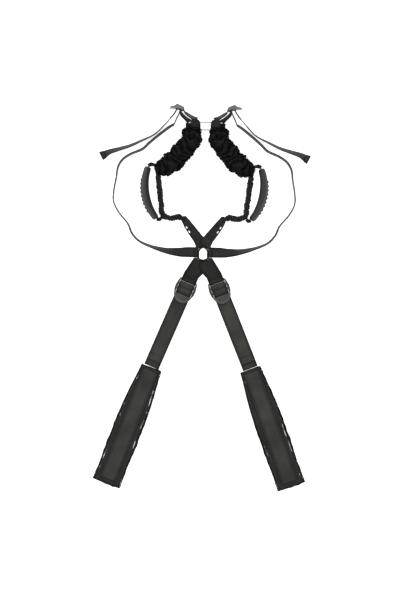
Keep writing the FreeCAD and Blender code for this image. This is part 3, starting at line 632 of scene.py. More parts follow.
# ------------------------------------------------------------------ leg webbing
# 38 mm webbing with a satin face comes up from each pad, goes under the buckle and over its
# toothed bar, and comes out again as a free tail whose end is folded twice and stitched.
leg_webbing = webbing_finish("leg_webbing", (0.012, 0.0122, 0.0105), (0.042, 0.0428, 0.037), 0.22,
                             1.2 * MM)
LOAD_ROUTE = [(-227.0, 1.0), (-180.0, 1.1), (-120.0, 1.0), (-60.0, 1.0), (-24.0, 1.0), (-13.0, 1.3),
              (-7.4, 2.2), (-6.0, 4.8), (-8.2, 7.4), (-13.0, 8.3), (-16.4, 6.4), (-18.8, 4.0),
              (-21.2, 6.4), (-24.5, 8.3), (-28.9, 7.6)]
TAIL_ROUTE = [(-28.9, 7.6), (-31.0, 6.9), (-33.4, 5.0), (-36.2, 3.0), (-45.0, 2.85), (-57.0, 3.0),
              (-66.0, 7.6), (-76.0, 12.5), (-88.0, 13.3), (-120.0, 13.0), (-160.0, 13.5),
              (-196.0, 13.2)]
HEM_ROUTE = [(-196.0, 14.0), (-202.0, 14.05), (-208.2, 14.0), (-209.9, 13.2), (-208.2, 12.4),
             (-202.0, 12.35), (-196.4, 12.4)]


def cross_seam(y, high):
    """A straight row of stitches across 38 mm webbing, at y and a height in millimetres."""
    line = at_height(np.column_stack([np.linspace(-17, 17, 30), np.full(30, y)]), high) * MM
    return stitch_row(line, 2.6 * MM, 3.4 * MM)


HEM_SEAMS = (-198.5, -206.5)
for side_name, side in SIDES:
    near, pad_body, end_body = (f"{word}_{side_name}" for word in
                                ("leg_adjuster", "leg_pad", "leg_tail_end"))
    load = profile_strap(LOAD_ROUTE, 2 * HALF_WIDE, WEB, side, 2.0 * MM)
    strap = make_piece(f"leg_strap_web_{side_name}", leg_webbing, *load)
    ends = leg_place(np.array([(0, -80 * MM, 0), (0, -224 * MM, 0), (0, -80 * MM, 0.013),
                               (0, -195 * MM, 0.013)]), side)
    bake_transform(strap)
    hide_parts(f"leg_strap_{side_name}")
    tail = profile_strap(TAIL_ROUTE, 2 * HALF_WIDE, WEB, side, 2.0 * MM)
    strap = make_piece(f"leg_tail_web_{side_name}", leg_webbing, *tail)
    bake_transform(strap)
    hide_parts(f"leg_tail_{side_name}")
    hem = profile_strap(HEM_ROUTE, 2 * HALF_WIDE, WEB, side, 0.8 * MM)
    fold = make_piece(f"leg_hem_web_{side_name}", leg_webbing, *hem)
    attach(fold, end_body)
    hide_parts(f"leg_tail_hem_{side_name}")
    seams = [placed(cross_seam(y, 14.85), leg_place, side) for y in HEM_SEAMS]
    sewn = make_piece(f"leg_hem_stitches_{side_name}", stitch_thread, *joined(*seams))
    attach(sewn, end_body)


# ------------------------------------------------------------------ leg pads
# Each pad is foam in a cloth cover.  A strip of the webbing is sewn down its middle, a narrow
# reflective piping runs in the channel on each side, and the bound edge curls up round it.
PAD_PLACE = (120.0 * MM, -172.5 * MM)
PAD_ANGLE = math.radians(20.4)
PAD_LONG = 302.0 * MM
PAD_ROWS = np.array([(26.2, 0.0), (27.6, 22.0), (31.8, 61.0), (35.0, 105.0), (35.6, 160.0),
                     (35.4, 230.0), (34.0, 266.0), (34.6, 288.0), (35.0, 302.0)]) * MM
LIP = 1.8 * MM
FILL = 1.3 * MM
pad_cloth = webbing_finish("pad_cloth", (0.008, 0.008, 0.007), (0.026, 0.0262, 0.023), 0.16,
                           0.9 * MM)
edge_cloth = webbing_finish("edge_cloth", (0.005, 0.005, 0.005), (0.016, 0.016, 0.0155), 0.12,
                            1.0 * MM)


def ripple(points, size, seed):
    """Smooth bumps between -1 and 1 about one size apart: the mean of nine sine waves that run
    in seeded random directions, raised so that it fills the range."""
    rng = np.random.default_rng(seed)
    ways = rng.normal(size=(9, 3))
    ways *= (rng.uniform(0.7, 1.4, 9) / np.linalg.norm(ways, axis=1))[:, None]
    phase = rng.uniform(0, 2 * np.pi, 9)
    waves = np.sin(points @ ways.T * (2 * np.pi / size) + phase)
    return np.clip(waves.mean(axis=1) * 2.4, -1, 1)


def pad_place(points, side):
    """Points of the pad frame, whose origin is the middle of the pad's top end, in the harness."""
    return in_place(points, (side * PAD_PLACE[0], PAD_PLACE[1], 0), side * PAD_ANGLE)


def pad_half(down):
    """Half of the pad's width at a distance down it, straight between the measured rows."""
    return np.interp(down, PAD_ROWS[:, 1], PAD_ROWS[:, 0])


def cushion_block(inset, low, high):
    """Closed cushion: at each of 90 rows down the pad a flattened oval, whose half-width is the
    pad's less the inset, and which shrinks a little at the two ends."""
    down = np.linspace(inset, PAD_LONG - inset, 90)
    end = np.minimum(down - inset, PAD_LONG - inset - down) / (12 * MM)
    pull = 0.78 + 0.22 * np.clip(end, 0, 1) ** 0.5
    turn = np.linspace(0, 2 * np.pi, 40, endpoint=False)
    wide = squarer(np.cos(turn), 0.35)
    tall = squarer(np.sin(turn), 0.45)
    half = pad_half(down) - inset
    x = half[:, None] * wide[None] * (0.97 + 0.03 * pull[:, None])
    z = (low + high) / 2 + (high - low) / 2 * pull[:, None] * tall[None]
    y = np.broadcast_to(-down[:, None], x.shape)
    points = np.stack([x, y, z], axis=-1).reshape(-1, 3)
    return points, ring_faces(90, 40)


SWELL_FRAMES = 20


def puffed(piece, voxel, pressure, cap):
    """Remeshes a closed piece, lets it swell as a cloth bag under gas pressure with no gravity
    for SWELL_FRAMES frames, and moves each point by at most cap towards its swollen place."""
    bpy.context.view_layer.objects.active = piece
    remesh = piece.modifiers.new("even_mesh", "REMESH")
    remesh.mode = "VOXEL"
    remesh.voxel_size = voxel
    mesh = apply_modifiers(piece)
    start = triples(mesh.vertices, "co")
    bag = piece.modifiers.new("swell", "CLOTH")
    bag.settings.use_pressure = True
    bag.settings.uniform_pressure_force = pressure
    bag.settings.effector_weights.gravity = 0.0
    bag.settings.quality = 5
    bag.point_cache.frame_start = 1
    bag.point_cache.frame_end = SWELL_FRAMES
    for step in range(1, SWELL_FRAMES + 1):
        bpy.context.scene.frame_set(step)
    move = triples(shaped_mesh(piece).vertices, "co") - start
    far = np.linalg.norm(move, axis=1)[:, None]
    move *= np.minimum(1, cap / np.maximum(far, 1e-9))
    mesh.vertices.foreach_set("co", (start + move).ravel())
    piece.modifiers.clear()
    bpy.context.scene.frame_set(1)
    mesh.update()


def subdivided(piece):
    """One level of Catmull-Clark subdivision, applied."""
    finer = piece.modifiers.new("finer", "SUBSURF")
    finer.levels = finer.render_levels = 1
    return triples(apply_modifiers(piece).vertices, "co")


def pad_edge(count):
    """The pad's outline as a closed loop, sampled evenly, with its bottom end bowed outwards."""
    down = np.linspace(0, PAD_LONG, 150)
    half = pad_half(down)
    across = np.linspace(-1, 1, 40)[1:-1]
    bottom = np.column_stack([across * half[-1], -PAD_LONG - 2.0 * MM * (1 - across ** 2)])
    top = np.column_stack([-across * half[0], np.zeros(38)])
    loop = np.vstack([np.column_stack([-half, -down]), bottom, np.column_stack([half, -down])[::-1],
                      top])
    return closed_route(loop, count)


EDGE_COUNT, STRIP_COUNT = 520, 140
STRIP_SEAMS = (-11.0, -14.5, -24.5, -28.0)
cover_rest = None
for side_name, side in SIDES:
    body = f"leg_pad_{side_name}"
    if side < 0:
        points, faces = cushion_block(LIP + 1.2 * MM, 0.8 * MM, 7.2 * MM)
        cover = make_piece(f"pad_cushion_{side_name}", pad_cloth, points, faces)
        puffed(cover, 4 * MM, 4.0, 3.0 * MM)
        points = subdivided(cover)
        across = np.abs(points[:, 0])
        groove = np.exp(-((across - np.interp(-points[:, 1], [0.022, 0.106, 0.29],
                                              [0.0226, 0.0288, 0.0284])) / (1.6 * MM)) ** 2)
        raised = points[:, 2] > 4 * MM
        top = 8.4 * MM - 0.9 * MM * groove
        top = np.where(across < 21 * MM, 7.9 * MM, top)
        crease = 0.35 * MM * ripple(points, 16 * MM, 5)
        crown = np.minimum(points[:, 2] + 1.0 * MM, top) + crease * (across > 21 * MM)
        points[:, 2] = np.where(raised, crown, np.maximum(points[:, 2], 0.3 * MM))
        points[:, 1] = np.interp(points[:, 1], [points[:, 1].min(), points[:, 1].max()],
                                 [-PAD_LONG - 0.4 * MM, -0.2 * MM])
        row = (-points[:, 1] / (5 * MM)).astype(int)
        widest = np.zeros(row.max() + 1)
        np.maximum.at(widest, row, np.abs(points[:, 0]))
        points[:, 0] *= (pad_half(-points[:, 1]) - FILL) / widest[row]
        cover_rest = (points, [list(p.vertices) for p in cover.data.polygons])
        bpy.data.objects.remove(cover)
    points, faces = cover_rest
    flat = points * (1 if side < 0 else -1, 1, 1)
    cover = make_piece(f"pad_cushion_{side_name}", pad_cloth, pad_place(flat, side), faces,
                       points[:, :2])
    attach(cover, body)
    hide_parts(f"pad_cover_{side_name}", f"pad_foam_{side_name}")

    edge = pad_edge(EDGE_COUNT)
    outwards = loop_outwards(edge)
    spot = at_height(edge, 0.0)
    lean = 1.5 * MM * ripple(spot, 55 * MM, 11) + 0.9 * MM * ripple(spot, 19 * MM, 12)
    tall = 10.6 * MM + 0.9 * MM * ripple(spot, 38 * MM, 13)
    share = np.array([0.02, 0.2, 0.45, 0.7, 0.9, 1.0, 0.9, 0.7, 0.45, 0.2, 0.02])
    thick = np.array([0.0, 0.1, 0.1, 0.0, -0.1, 0.3, 0.85, 1.0, 0.9, 0.9, 1.0]) * 1.5 * MM
    off = -thick[None] + (share ** 2)[None] * lean[:, None]
    wall = laid_round(edge, outwards, off, share[None] * tall[:, None])
    round_it = np.arange(EDGE_COUNT) * 2 * MM
    uv = np.stack(np.broadcast_arrays(round_it[:, None], (share * 11 * MM)[None]),
                  axis=-1).reshape(-1, 2)
    binding = make_piece(f"pad_edge_{side_name}", edge_cloth, pad_place(wall, side),
                         loop_faces(EDGE_COUNT, len(share)), uv)
    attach(binding, body)
    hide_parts(f"pad_binding_{side_name}")

    strip_y = np.linspace(-8 * MM, 12 * MM - PAD_LONG, STRIP_COUNT)
    sag = 0.25 * MM * np.sin(strip_y / (31 * MM)) + 8.85 * MM
    path = np.column_stack([np.zeros(STRIP_COUNT), strip_y, sag])
    points, faces, uv = webbing_mesh(path, (1.0, 0.0, 0.0), 41 * MM, WEB)
    strip = make_piece(f"pad_strip_web_{side_name}", leg_webbing,
                       pad_place(points, side), faces, uv)
    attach(strip, body)
    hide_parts(f"pad_strip_{side_name}")
    seams = []
    for x in (-18.6 * MM, 18.6 * MM):
        line = np.column_stack([np.full(STRIP_COUNT, x), strip_y, sag + WEB / 2])
        seams.append(placed(stitch_row(line, 2.8 * MM, 3.8 * MM), pad_place, side))
    seams += [placed(cross_seam(y, 9.7), pad_place, side) for y in STRIP_SEAMS]
    sewn = make_piece(f"pad_stitches_{side_name}", stitch_thread, *joined(*seams))
    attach(sewn, body)


# ------------------------------------------------------------------ pad piping
# A cord in reflective silver cloth lies in the channel on each side of the strip.  Its colour
# shows broken bright lengths, painted glints laid by a noise.
def piping_finish():
    """Silver reflective cloth, near black with painted glints: pale silver patches laid by a noise.
    """
    material, nodes, links, shader = new_finish("silver_piping", 0.32, 0.5)
    # Painted glints: the noise switches the colour between near black and pale silver in broken
    # lengths.
    painted_glints = shades_of(nodes, links, noise(nodes, links, 34.0, 2.5),
                        (0.54, (0.010, 0.010, 0.011)), (0.66, (0.80, 0.82, 0.84)))
    links.new(painted_glints, shader.inputs["Base Color"])
    return material


def cord_tube(path, radius, around):
    """Closed tube: a circle of the radius across the level side and the up direction at each
    path point."""
    way = headings(path)
    side = np.cross(way, (0.0, 0.0, 1.0))
    side /= np.linalg.norm(side, axis=1)[:, None]
    up = np.cross(side, way)
    turn = np.arange(around) * 2 * np.pi / around
    radius = np.broadcast_to(np.asarray(radius, float), len(path))[:, None, None]
    points = path[:, None] + radius * (side[:, None] * np.cos(turn)[None, :, None]
                                       + up[:, None] * np.sin(turn)[None, :, None])
    return points.reshape(-1, 3), ring_faces(len(path), around), None


silver_piping = piping_finish()
PIPING_ROUTE = [(22.6, -22.0), (25.6, -62.0), (28.8, -106.0), (29.2, -170.0), (29.2, -230.0),
                (28.4, -288.0)]
for side_name, side in SIDES:
    for word, which in (("inner", -side), ("outer", side)):
        line = smooth_route(flipped(PIPING_ROUTE, which), 2 * MM)
        spot = at_height(line, 0.0)
        line[:, 0] += 0.5 * MM * ripple(spot, 30 * MM, 21 + which)
        high = 9.3 * MM + 0.25 * MM * ripple(spot, 24 * MM, 31)
        points, faces, _ = cord_tube(at_height(line, high), 0.8 * MM, 10)
        cord = make_piece(f"pad_piping_line_{word}_{side_name}", silver_piping,
                          pad_place(points, side), faces)
        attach(cord, f"leg_pad_{side_name}")
        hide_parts(f"pad_piping_{word}_{side_name}")


# ------------------------------------------------------------------ side straps
# 25 mm webbing runs from the crossing under each arm to the top buckle.  It lies flat where it
# is sewn to the crossing and then stands on its edge in a long loose curve, as its tail does.
HALF_NARROW = 12.5 * MM
SIDE_ROUTE = [(76.4, 418.7), (87.5, 412.0), (102.0, 401.0), (117.0, 389.0), (136.0, 372.5),
              (152.0, 357.5), (180.0, 345.0), (199.0, 332.0), (210.5, 313.0), (214.0, 288.0),
              (219.5, 256.0), (219.5, 229.0), (206.0, 202.5), (184.0, 176.0), (174.0, 153.5),
              (156.0, 134.5), (126.0, 121.5), (90.0, 112.2), (58.0, 109.3), (38.0, 109.8),
              (15.0, 109.8)]
SIDE_TURNS = [5, 7, 8, 8, 7, 7, 6, 6, 5, 3, 2, 3, 5, 6, 8, 10, 16, 34, 60, 84, 90]
FREE_ROUTE = [(87.0, 432.0), (101.0, 416.0), (118.0, 398.5), (132.0, 389.0), (150.0, 380.5),
              (182.0, 365.5), (210.0, 356.5), (231.0, 350.0), (243.5, 343.5)]
FREE_TURNS = [6, 9, 11, 12, 15, 20, 26, 34, 48]
FREE_HEM = [(243.5, 343.5), (248.0, 341.2), (252.6, 338.8)]
EDGE_LIFT = 3.4 * MM
side_webbing = webbing_finish("side_webbing", (0.007, 0.007, 0.0063), (0.022, 0.0222, 0.020), 0.16)


def standing_strap(route, turns, side, thick, fold_end=False):
    """Webbing that stands on its edge: at each point of the route it leans from upright by the
    turn given there, on whichever edge touches the table, and is raised near its first end."""
    knots = flipped(route, side)
    line = smooth_route(knots, 2.2 * MM)
    gone = lengths_along(line)
    at = [gone[np.argmin(np.linalg.norm(line - knot, axis=1))] for knot in knots]
    lean = np.radians(np.interp(gone, at, np.array(turns, float)))
    way = headings(line)
    left = np.stack([-way[:, 1], way[:, 0], np.zeros(len(line))], axis=1)
    up = np.array([0.0, 0.0, 1.0])
    across = up * np.cos(lean)[:, None] + left * np.sin(lean)[:, None]
    lift = 0.0 if fold_end else EDGE_LIFT * np.clip(1 - gone / (60 * MM), 0, 1)
    high = HALF_NARROW * np.abs(np.cos(lean)) + thick / 2 * np.abs(np.sin(lean)) + lift
    return webbing_mesh(at_height(line, high), across, 2 * HALF_NARROW, thick)


for side_name, side in SIDES:
    points, faces, uv = standing_strap(SIDE_ROUTE, [side * t for t in SIDE_TURNS], side, WEB)
    strap = make_piece(f"side_strap_web_{side_name}", side_webbing, points, faces, uv)
    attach(strap, "harness")
    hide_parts(f"side_strap_{side_name}")
    points, faces, uv = standing_strap(FREE_ROUTE, [-side * t for t in FREE_TURNS], side, WEB)
    tail = make_piece(f"side_tail_web_{side_name}", side_webbing, points, faces, uv)
    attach(tail, "harness")
    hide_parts(f"side_tail_{side_name}")
    hem = standing_strap(FREE_HEM, [-side * t for t in (48, 56, 64)], side, 2 * WEB, True)
    fold = make_piece(f"side_hem_web_{side_name}", side_webbing, *hem)
    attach(fold, "harness")
    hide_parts(f"side_tail_hem_{side_name}")
    row = np.column_stack([flipped([(20.0, 101.0), (20.0, 118.5)], side), [0.0029, 0.0029]])
    spread = np.linspace(0, 1, 20)[:, None]
    rows = [stitch_row(row[0] + (row[1] - row[0]) * spread + (side * x * MM, 0, 0),
                       2.2 * MM, 2.7 * MM) for x in (8.0, 14.0)]
    sewn = make_piece(f"side_strap_stitches_{side_name}", stitch_thread, *joined(*rows))
    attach(sewn, "harness")


# ------------------------------------------------------------------ top buckles
# Narrow ladder-locks of the same plastic stand on their edges.  A loop from the sleeve holds the
# end bar, and the side strap turns back over the middle bar into its tail.
TURN_BAR = (66.5, 460.2)
TAB_INNER = [(14.0, 411.6), (13.0, 420.0), (14.5, 427.0), (22.8, 433.0)]
TAB_OUTER = [(36.5, 411.6), (38.0, 421.0), (34.0, 428.5), (23.6, 433.0)]
TURN_ROUTE = [(76.0, 419.2), (70.5, 433.0), (64.0, 447.0), (63.3, 457.0), (64.2, 462.0),
              (66.5, 463.4), (68.8, 462.0), (69.9, 457.0), (73.5, 449.5), (79.0, 441.5),
              (86.6, 432.4)]
LOOP_ROUTE = [(38.0, 425.4), (48.0, 433.5), (57.6, 442.5), (60.1, 449.0), (60.3, 457.0),
              (59.0, 459.9), (56.6, 460.6), (54.2, 459.9), (52.9, 457.0), (51.2, 450.4),
              (41.0, 441.5), (23.5, 431.6)]
SLEEVE_TOP_Z = 29.3 * MM
# The top buckles' plastic is given a paler greenish colour than the leg buckles': painted
# highlight, for the reflection on their upturned side rails.
top_painted_highlight = moulded_finish("top_buckle_painted_highlight", (0.070, 0.073, 0.058), 0.3, 0.5)
for side_name, side in SIDES:
    body = f"side_slider_{side_name}"
    buckle = eased_copy(f"side_buckle_{side_name}", f"side_buckle_body_{side_name}", top_painted_highlight,
                        0.5 * MM)
    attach(buckle, body)
    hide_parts(f"side_buckle_{side_name}")
    high = EDGE_LIFT + HALF_NARROW
    out, y = TURN_BAR
    line = smooth_route(flipped(TURN_ROUTE, side), 1.0 * MM)
    path = at_height(line, high)
    turned = webbing_mesh(path, (0.0, 0.0, 1.0), 2 * HALF_NARROW, WEB)
    web = make_piece(f"side_turn_web_{side_name}", side_webbing, *turned)
    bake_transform(web)
    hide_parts(f"side_turn_{side_name}")
    line = smooth_route(flipped(LOOP_ROUTE, side), 1.0 * MM)
    path = at_height(line, high)
    gone = lengths_along(line)
    from_end = np.minimum(gone, gone[-1] - gone)
    lean = np.radians(np.interp(from_end, [0, 10 * MM, 28 * MM, 38 * MM], [38, 26, 20, 0]))
    across = np.column_stack([side * 0.78 * np.sin(lean), -0.62 * np.sin(lean), np.cos(lean)])
    looped = webbing_mesh(path, across, 2 * HALF_NARROW, WEB)
    web = make_piece(f"buckle_loop_web_{side_name}", cross_webbing, *looped)
    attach(web, "harness")
    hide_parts(f"buckle_loop_{side_name}")
    flat = between_edges(flipped(TAB_INNER, side), flipped(TAB_OUTER, side), SLEEVE_TOP_Z, WEB, 24)
    flat[0][:, 2] -= 1.2 * MM * np.clip((418 * MM - flat[0][:, 1]) / (7 * MM), 0, 1)
    web = make_piece(f"sleeve_top_web_{side_name}", cross_webbing, *flat)
    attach(web, "harness")
    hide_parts(f"sleeve_top_{side_name}")


# ------------------------------------------------------------------ ring and its loops
# An oval ring of bright steel joins the two sleeves.  A teardrop of webbing from each holds it.
def steel_finish():
    """Polished steel with a bluish cast and faint hairline scratches."""
    material, nodes, links, shader = new_finish("ring_steel", 0.16, 0.5)
    shader.inputs["Metallic"].default_value = 1.0
    marks = shades_of(nodes, links, noise(nodes, links, 260.0), (0.0, (0.30, 0.34, 0.42)),
                      (1.0, (0.50, 0.54, 0.62)))
    links.new(marks, shader.inputs["Base Color"])
    return material


RING_PLACE = (0.0, 416.0 * MM, 13.6 * MM)
RING_TILT = math.radians(41)
RING_THICK = 4.0 * MM
# Heights of the undersides of the two core straps, in millimetres.
CORE_LOW = {"left": 6.4, "right": 8.0}
bend = 11.0 * MM
half_turn = np.linspace(-np.pi / 2, np.pi / 2, 25)
straight = np.linspace(-bend, bend, 9)[1:-1]
oval = np.vstack([np.column_stack([bend + bend * np.cos(half_turn), bend * np.sin(half_turn)]),
                  np.column_stack([-straight, np.full(7, bend)]),
                  np.column_stack([-bend - bend * np.cos(half_turn), -bend * np.sin(half_turn)]),
                  np.column_stack([straight, np.full(7, -bend)])])
outwards = loop_outwards(oval)
turn = np.arange(16) * np.pi / 8
wire = laid_round(oval, outwards, RING_THICK / 2 * np.cos(turn), RING_THICK / 2 * np.sin(turn))
c, s = math.cos(RING_TILT), math.sin(RING_TILT)
wire = np.stack([wire[:, 0], wire[:, 1] * c - wire[:, 2] * s, wire[:, 1] * s + wire[:, 2] * c],
                axis=1) + RING_PLACE
ring = make_piece("centre_ring_wire", steel_finish(), wire, loop_faces(64, 16))
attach(ring, "ring")
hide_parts("centre_ring")
for side_name, side in SIDES:
    core = CORE_LOW[side_name]
    route = [(40.0, core + 2.4), (34.0, core + 3.0), (28.0, 19.0), (22.5, 27.0), (17.0, 28.2),
             (13.4, 26.0), (12.8, 15.0), (13.4, 3.0), (17.0, 1.0), (26.0, 1.0), (33.0, core - 1.6),
             (40.0, core - 0.8)]
    line = smooth_route(flipped(route, side), 1.0 * MM)
    path = np.column_stack([line[:, 0], np.full(len(line), RING_PLACE[1]), line[:, 1]])
    held = webbing_mesh(path, (0.0, 1.0, 0.0), 9 * MM, WEB)
    loop = make_piece(f"ring_loop_web_{side_name}", cross_webbing, *held)
    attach(loop, "harness")
    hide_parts(f"ring_loop_{side_name}")


# ------------------------------------------------------------------ plush sleeves
# Short-pile plush tubes, much longer than the strap that they cover, so they sit in bunched
# folds.  They are sewn as bags, so they are swollen as cloth and then folded and given a pile.
SLEEVE_ROWS = np.array([(36.6, 414.0, 34.0, 24.0), (34.6, 406.0, 50.0, 29.0),
                        (33.8, 396.0, 58.0, 33.0), (35.8, 381.0, 57.0, 36.0),
                        (47.0, 366.0, 58.0, 36.0), (62.0, 347.5, 59.0, 35.0),
                        (75.5, 330.5, 59.0, 33.0), (89.0, 320.5, 54.0, 31.0),
                        (102.0, 313.5, 44.0, 27.0), (116.5, 310.0, 29.0, 20.0)]) * MM


def plush_finish():
    """Near-black pile: no gloss, a soft sheen, painted shade in the hollows of its folds and
    painted light on their crests.
    """
    material, nodes, links, shader = new_finish("black_plush", 0.95, 0.04)
    shader.inputs["Sheen Weight"].default_value = 0.05
    shader.inputs["Sheen Roughness"].default_value = 0.35
    tufts = noise(nodes, links, 240.0, 5.0)
    shade = nodes.new("ShaderNodeMath")
    shade.operation = "MULTIPLY_ADD"
    shade.inputs[1].default_value = 0.5
    # The cloth place carries the fold value: painted shade in the hollows, painted light on the
    # crests.
    links.new(cloth_place(nodes, links, "cloth")["X"], shade.inputs[0])
    links.new(tufts, shade.inputs[2])
    colour = shades_of(nodes, links, shade.outputs[0], (0.45, (0.0018, 0.0018, 0.0021)),
                       (1.0, (0.030, 0.030, 0.033)))
    links.new(colour, shader.inputs["Base Color"])
    add_bump(nodes, links, shader, tufts, 0.8, 0.0015)
    return material


def sleeve_tube(rows, count, around, shrink):
    """Closed tube whose oval section follows the rows (out, y, width, height): the middle runs
    on a smooth route through them, and the ovals stand square to it with their feet on z = 0."""
    even = smooth_route(rows, 0.001)
    even = even[np.linspace(0, len(even) - 1, count).astype(int)]
    way = headings(even[:, :2])
    left = np.stack([-way[:, 1], way[:, 0]], axis=1)
    turn = np.linspace(0, 2 * np.pi, around, endpoint=False)
    half = (even[:, 2] / 2 * shrink)[:, None, None]
    flat = even[:, None, :2] + left[:, None] * half * np.cos(turn)[None, :, None]
    high = even[:, 3, None] / 2 * (1 + shrink * np.sin(turn)[None])
    points = np.concatenate([flat, high[..., None]], axis=2).reshape(-1, 3)
    return points, ring_faces(count, around), even


def piled(points, normals, count, length, seed):
    """Tufts of pile: at seeded points of a surface a thin leaning blade of two triangles."""
    rng = np.random.default_rng(seed)
    pick = rng.choice(len(points), count)
    root = points[pick]
    lean = normals[pick] + 0.75 * rng.normal(size=(count, 3))
    lean /= np.linalg.norm(lean, axis=1)[:, None]
    long = length * rng.uniform(0.5, 1.15, count)[:, None]
    wide = np.cross(lean, rng.normal(size=(count, 3)))
    wide *= 0.55 * MM / np.linalg.norm(wide, axis=1)[:, None]
    tip = root + lean * long
    bow = (root + tip) / 2 + normals[pick] * 0.6 * MM
    blades = np.stack([root - wide, root + wide, bow + wide * 0.7, tip, bow - wide * 0.7], axis=1)
    blades[..., 2] = np.maximum(blades[..., 2], 0.2 * MM)
    start = (np.arange(count) * 5)[:, None]
    return blades.reshape(-1, 3), (start + np.arange(5)).tolist()


black_plush = plush_finish()
TUFT_COUNT = 12000
sleeve_rest = None
for side_name, side in SIDES:
    if sleeve_rest is None:
        points, faces, middle = sleeve_tube(SLEEVE_ROWS, 60, 32, 0.86)
        sleeve = make_piece("sleeve_bag", black_plush, points, faces)
        puffed(sleeve, 4.5 * MM, 4.0, 6.0 * MM)
        points = subdivided(sleeve)
        near = np.argmin(((points[:, None, :2] - middle[None, :, :2]) ** 2).sum(axis=2), axis=1)
        along = lengths_along(middle[:, :2])[near]
        normals = triples(sleeve.data.vertices, "normal")
        level = np.clip(points[:, 2] / (6 * MM), 0, 1)
        swirl = along + 9 * MM * ripple(points, 40 * MM, 41)
        wave = np.abs(np.sin(np.pi * swirl / (15 * MM))) ** 0.7
        folds = 3.4 * MM * wave - 1.8 * MM
        bunch = 3.2 * MM * ripple(points, 26 * MM, 42) + 1.1 * MM * ripple(points, 9 * MM, 43)
        fuzz = 0.5 * MM * ripple(points, 3.4 * MM, 44)
        points = points + normals * ((folds + bunch) * level + fuzz)[:, None]
        points[:, 2] = np.maximum(points[:, 2], 0.2 * MM)
        faces = [list(p.vertices) for p in sleeve.data.polygons]
        # The fold value goes in the cloth place for the plush colour ramp: painted shade in the
        # hollows, painted light on the crests.
        fold_light_and_shade = np.column_stack([wave - 0.4, np.zeros(len(wave))])
        sleeve_rest = (points, faces, normals, fold_light_and_shade)
        bpy.data.objects.remove(sleeve)
    points, faces, normals, fold_light_and_shade = sleeve_rest
    turned = points * (side, 1, 1)
    sleeve = make_piece(f"plush_sleeve_cloth_{side_name}", black_plush, turned, faces, fold_light_and_shade)
    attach(sleeve, "harness")
    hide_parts(f"plush_sleeve_{side_name}")
    blades, blade_faces = piled(turned, normals * (side, 1, 1), TUFT_COUNT, 3.4 * MM, 51)
    mesh = bpy.data.meshes.new(f"plush_pile_{side_name}")
    mesh.from_pydata(blades.tolist(), [], blade_faces)
    mesh.materials.append(black_plush)
    pile = add_object(f"plush_pile_{side_name}", mesh)
    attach(pile, "harness")


# ------------------------------------------------------------------ core straps and grip tabs
# Flat webbing carries the load through each plush sleeve.  Short tabs of it hold the hand grip.
CORE_ROUTE = [(38.6, 423.6), (38.0, 404.0), (37.5, 388.0), (41.0, 374.0), (52.0, 358.0),
              (72.0, 336.0), (90.0, 320.0), (119.8, 308.0)]
TAB_ROUTES = {"upper": [(112.0, 317.0), (122.0, 319.6), (133.0, 323.0)],
              "lower": [(103.6, 192.0), (106.5, 188.3), (109.0, 185.2)]}


def level_strap(route, width, thick, low, side, step=2.0 * MM):
    """Webbing that lies level along a smooth route in (out, y), with its underside at low."""
    line = smooth_route(flipped(route, side), step)
    path = at_height(line, low + thick / 2)
    across = np.cross(headings(path), (0.0, 0.0, 1.0))
    return webbing_mesh(path, across, width, thick)


for side_name, side in SIDES:
    core_low = CORE_LOW[side_name] * MM
    core = level_strap(CORE_ROUTE, 20 * MM, WEB, core_low, side)
    strap = make_piece(f"core_strap_web_{side_name}", cross_webbing, *core)
    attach(strap, "harness")
    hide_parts(f"core_strap_{side_name}")
    for word, low in (("upper", core_low + WEB), ("lower", 5.0 * MM)):
        flat = level_strap(TAB_ROUTES[word], 8 * MM, WEB, low, side, 1.0 * MM)
        tab = make_piece(f"grip_tab_web_{word}_{side_name}", cross_webbing, *flat)
        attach(tab, "harness")
        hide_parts(f"grip_tab_{word}_{side_name}")


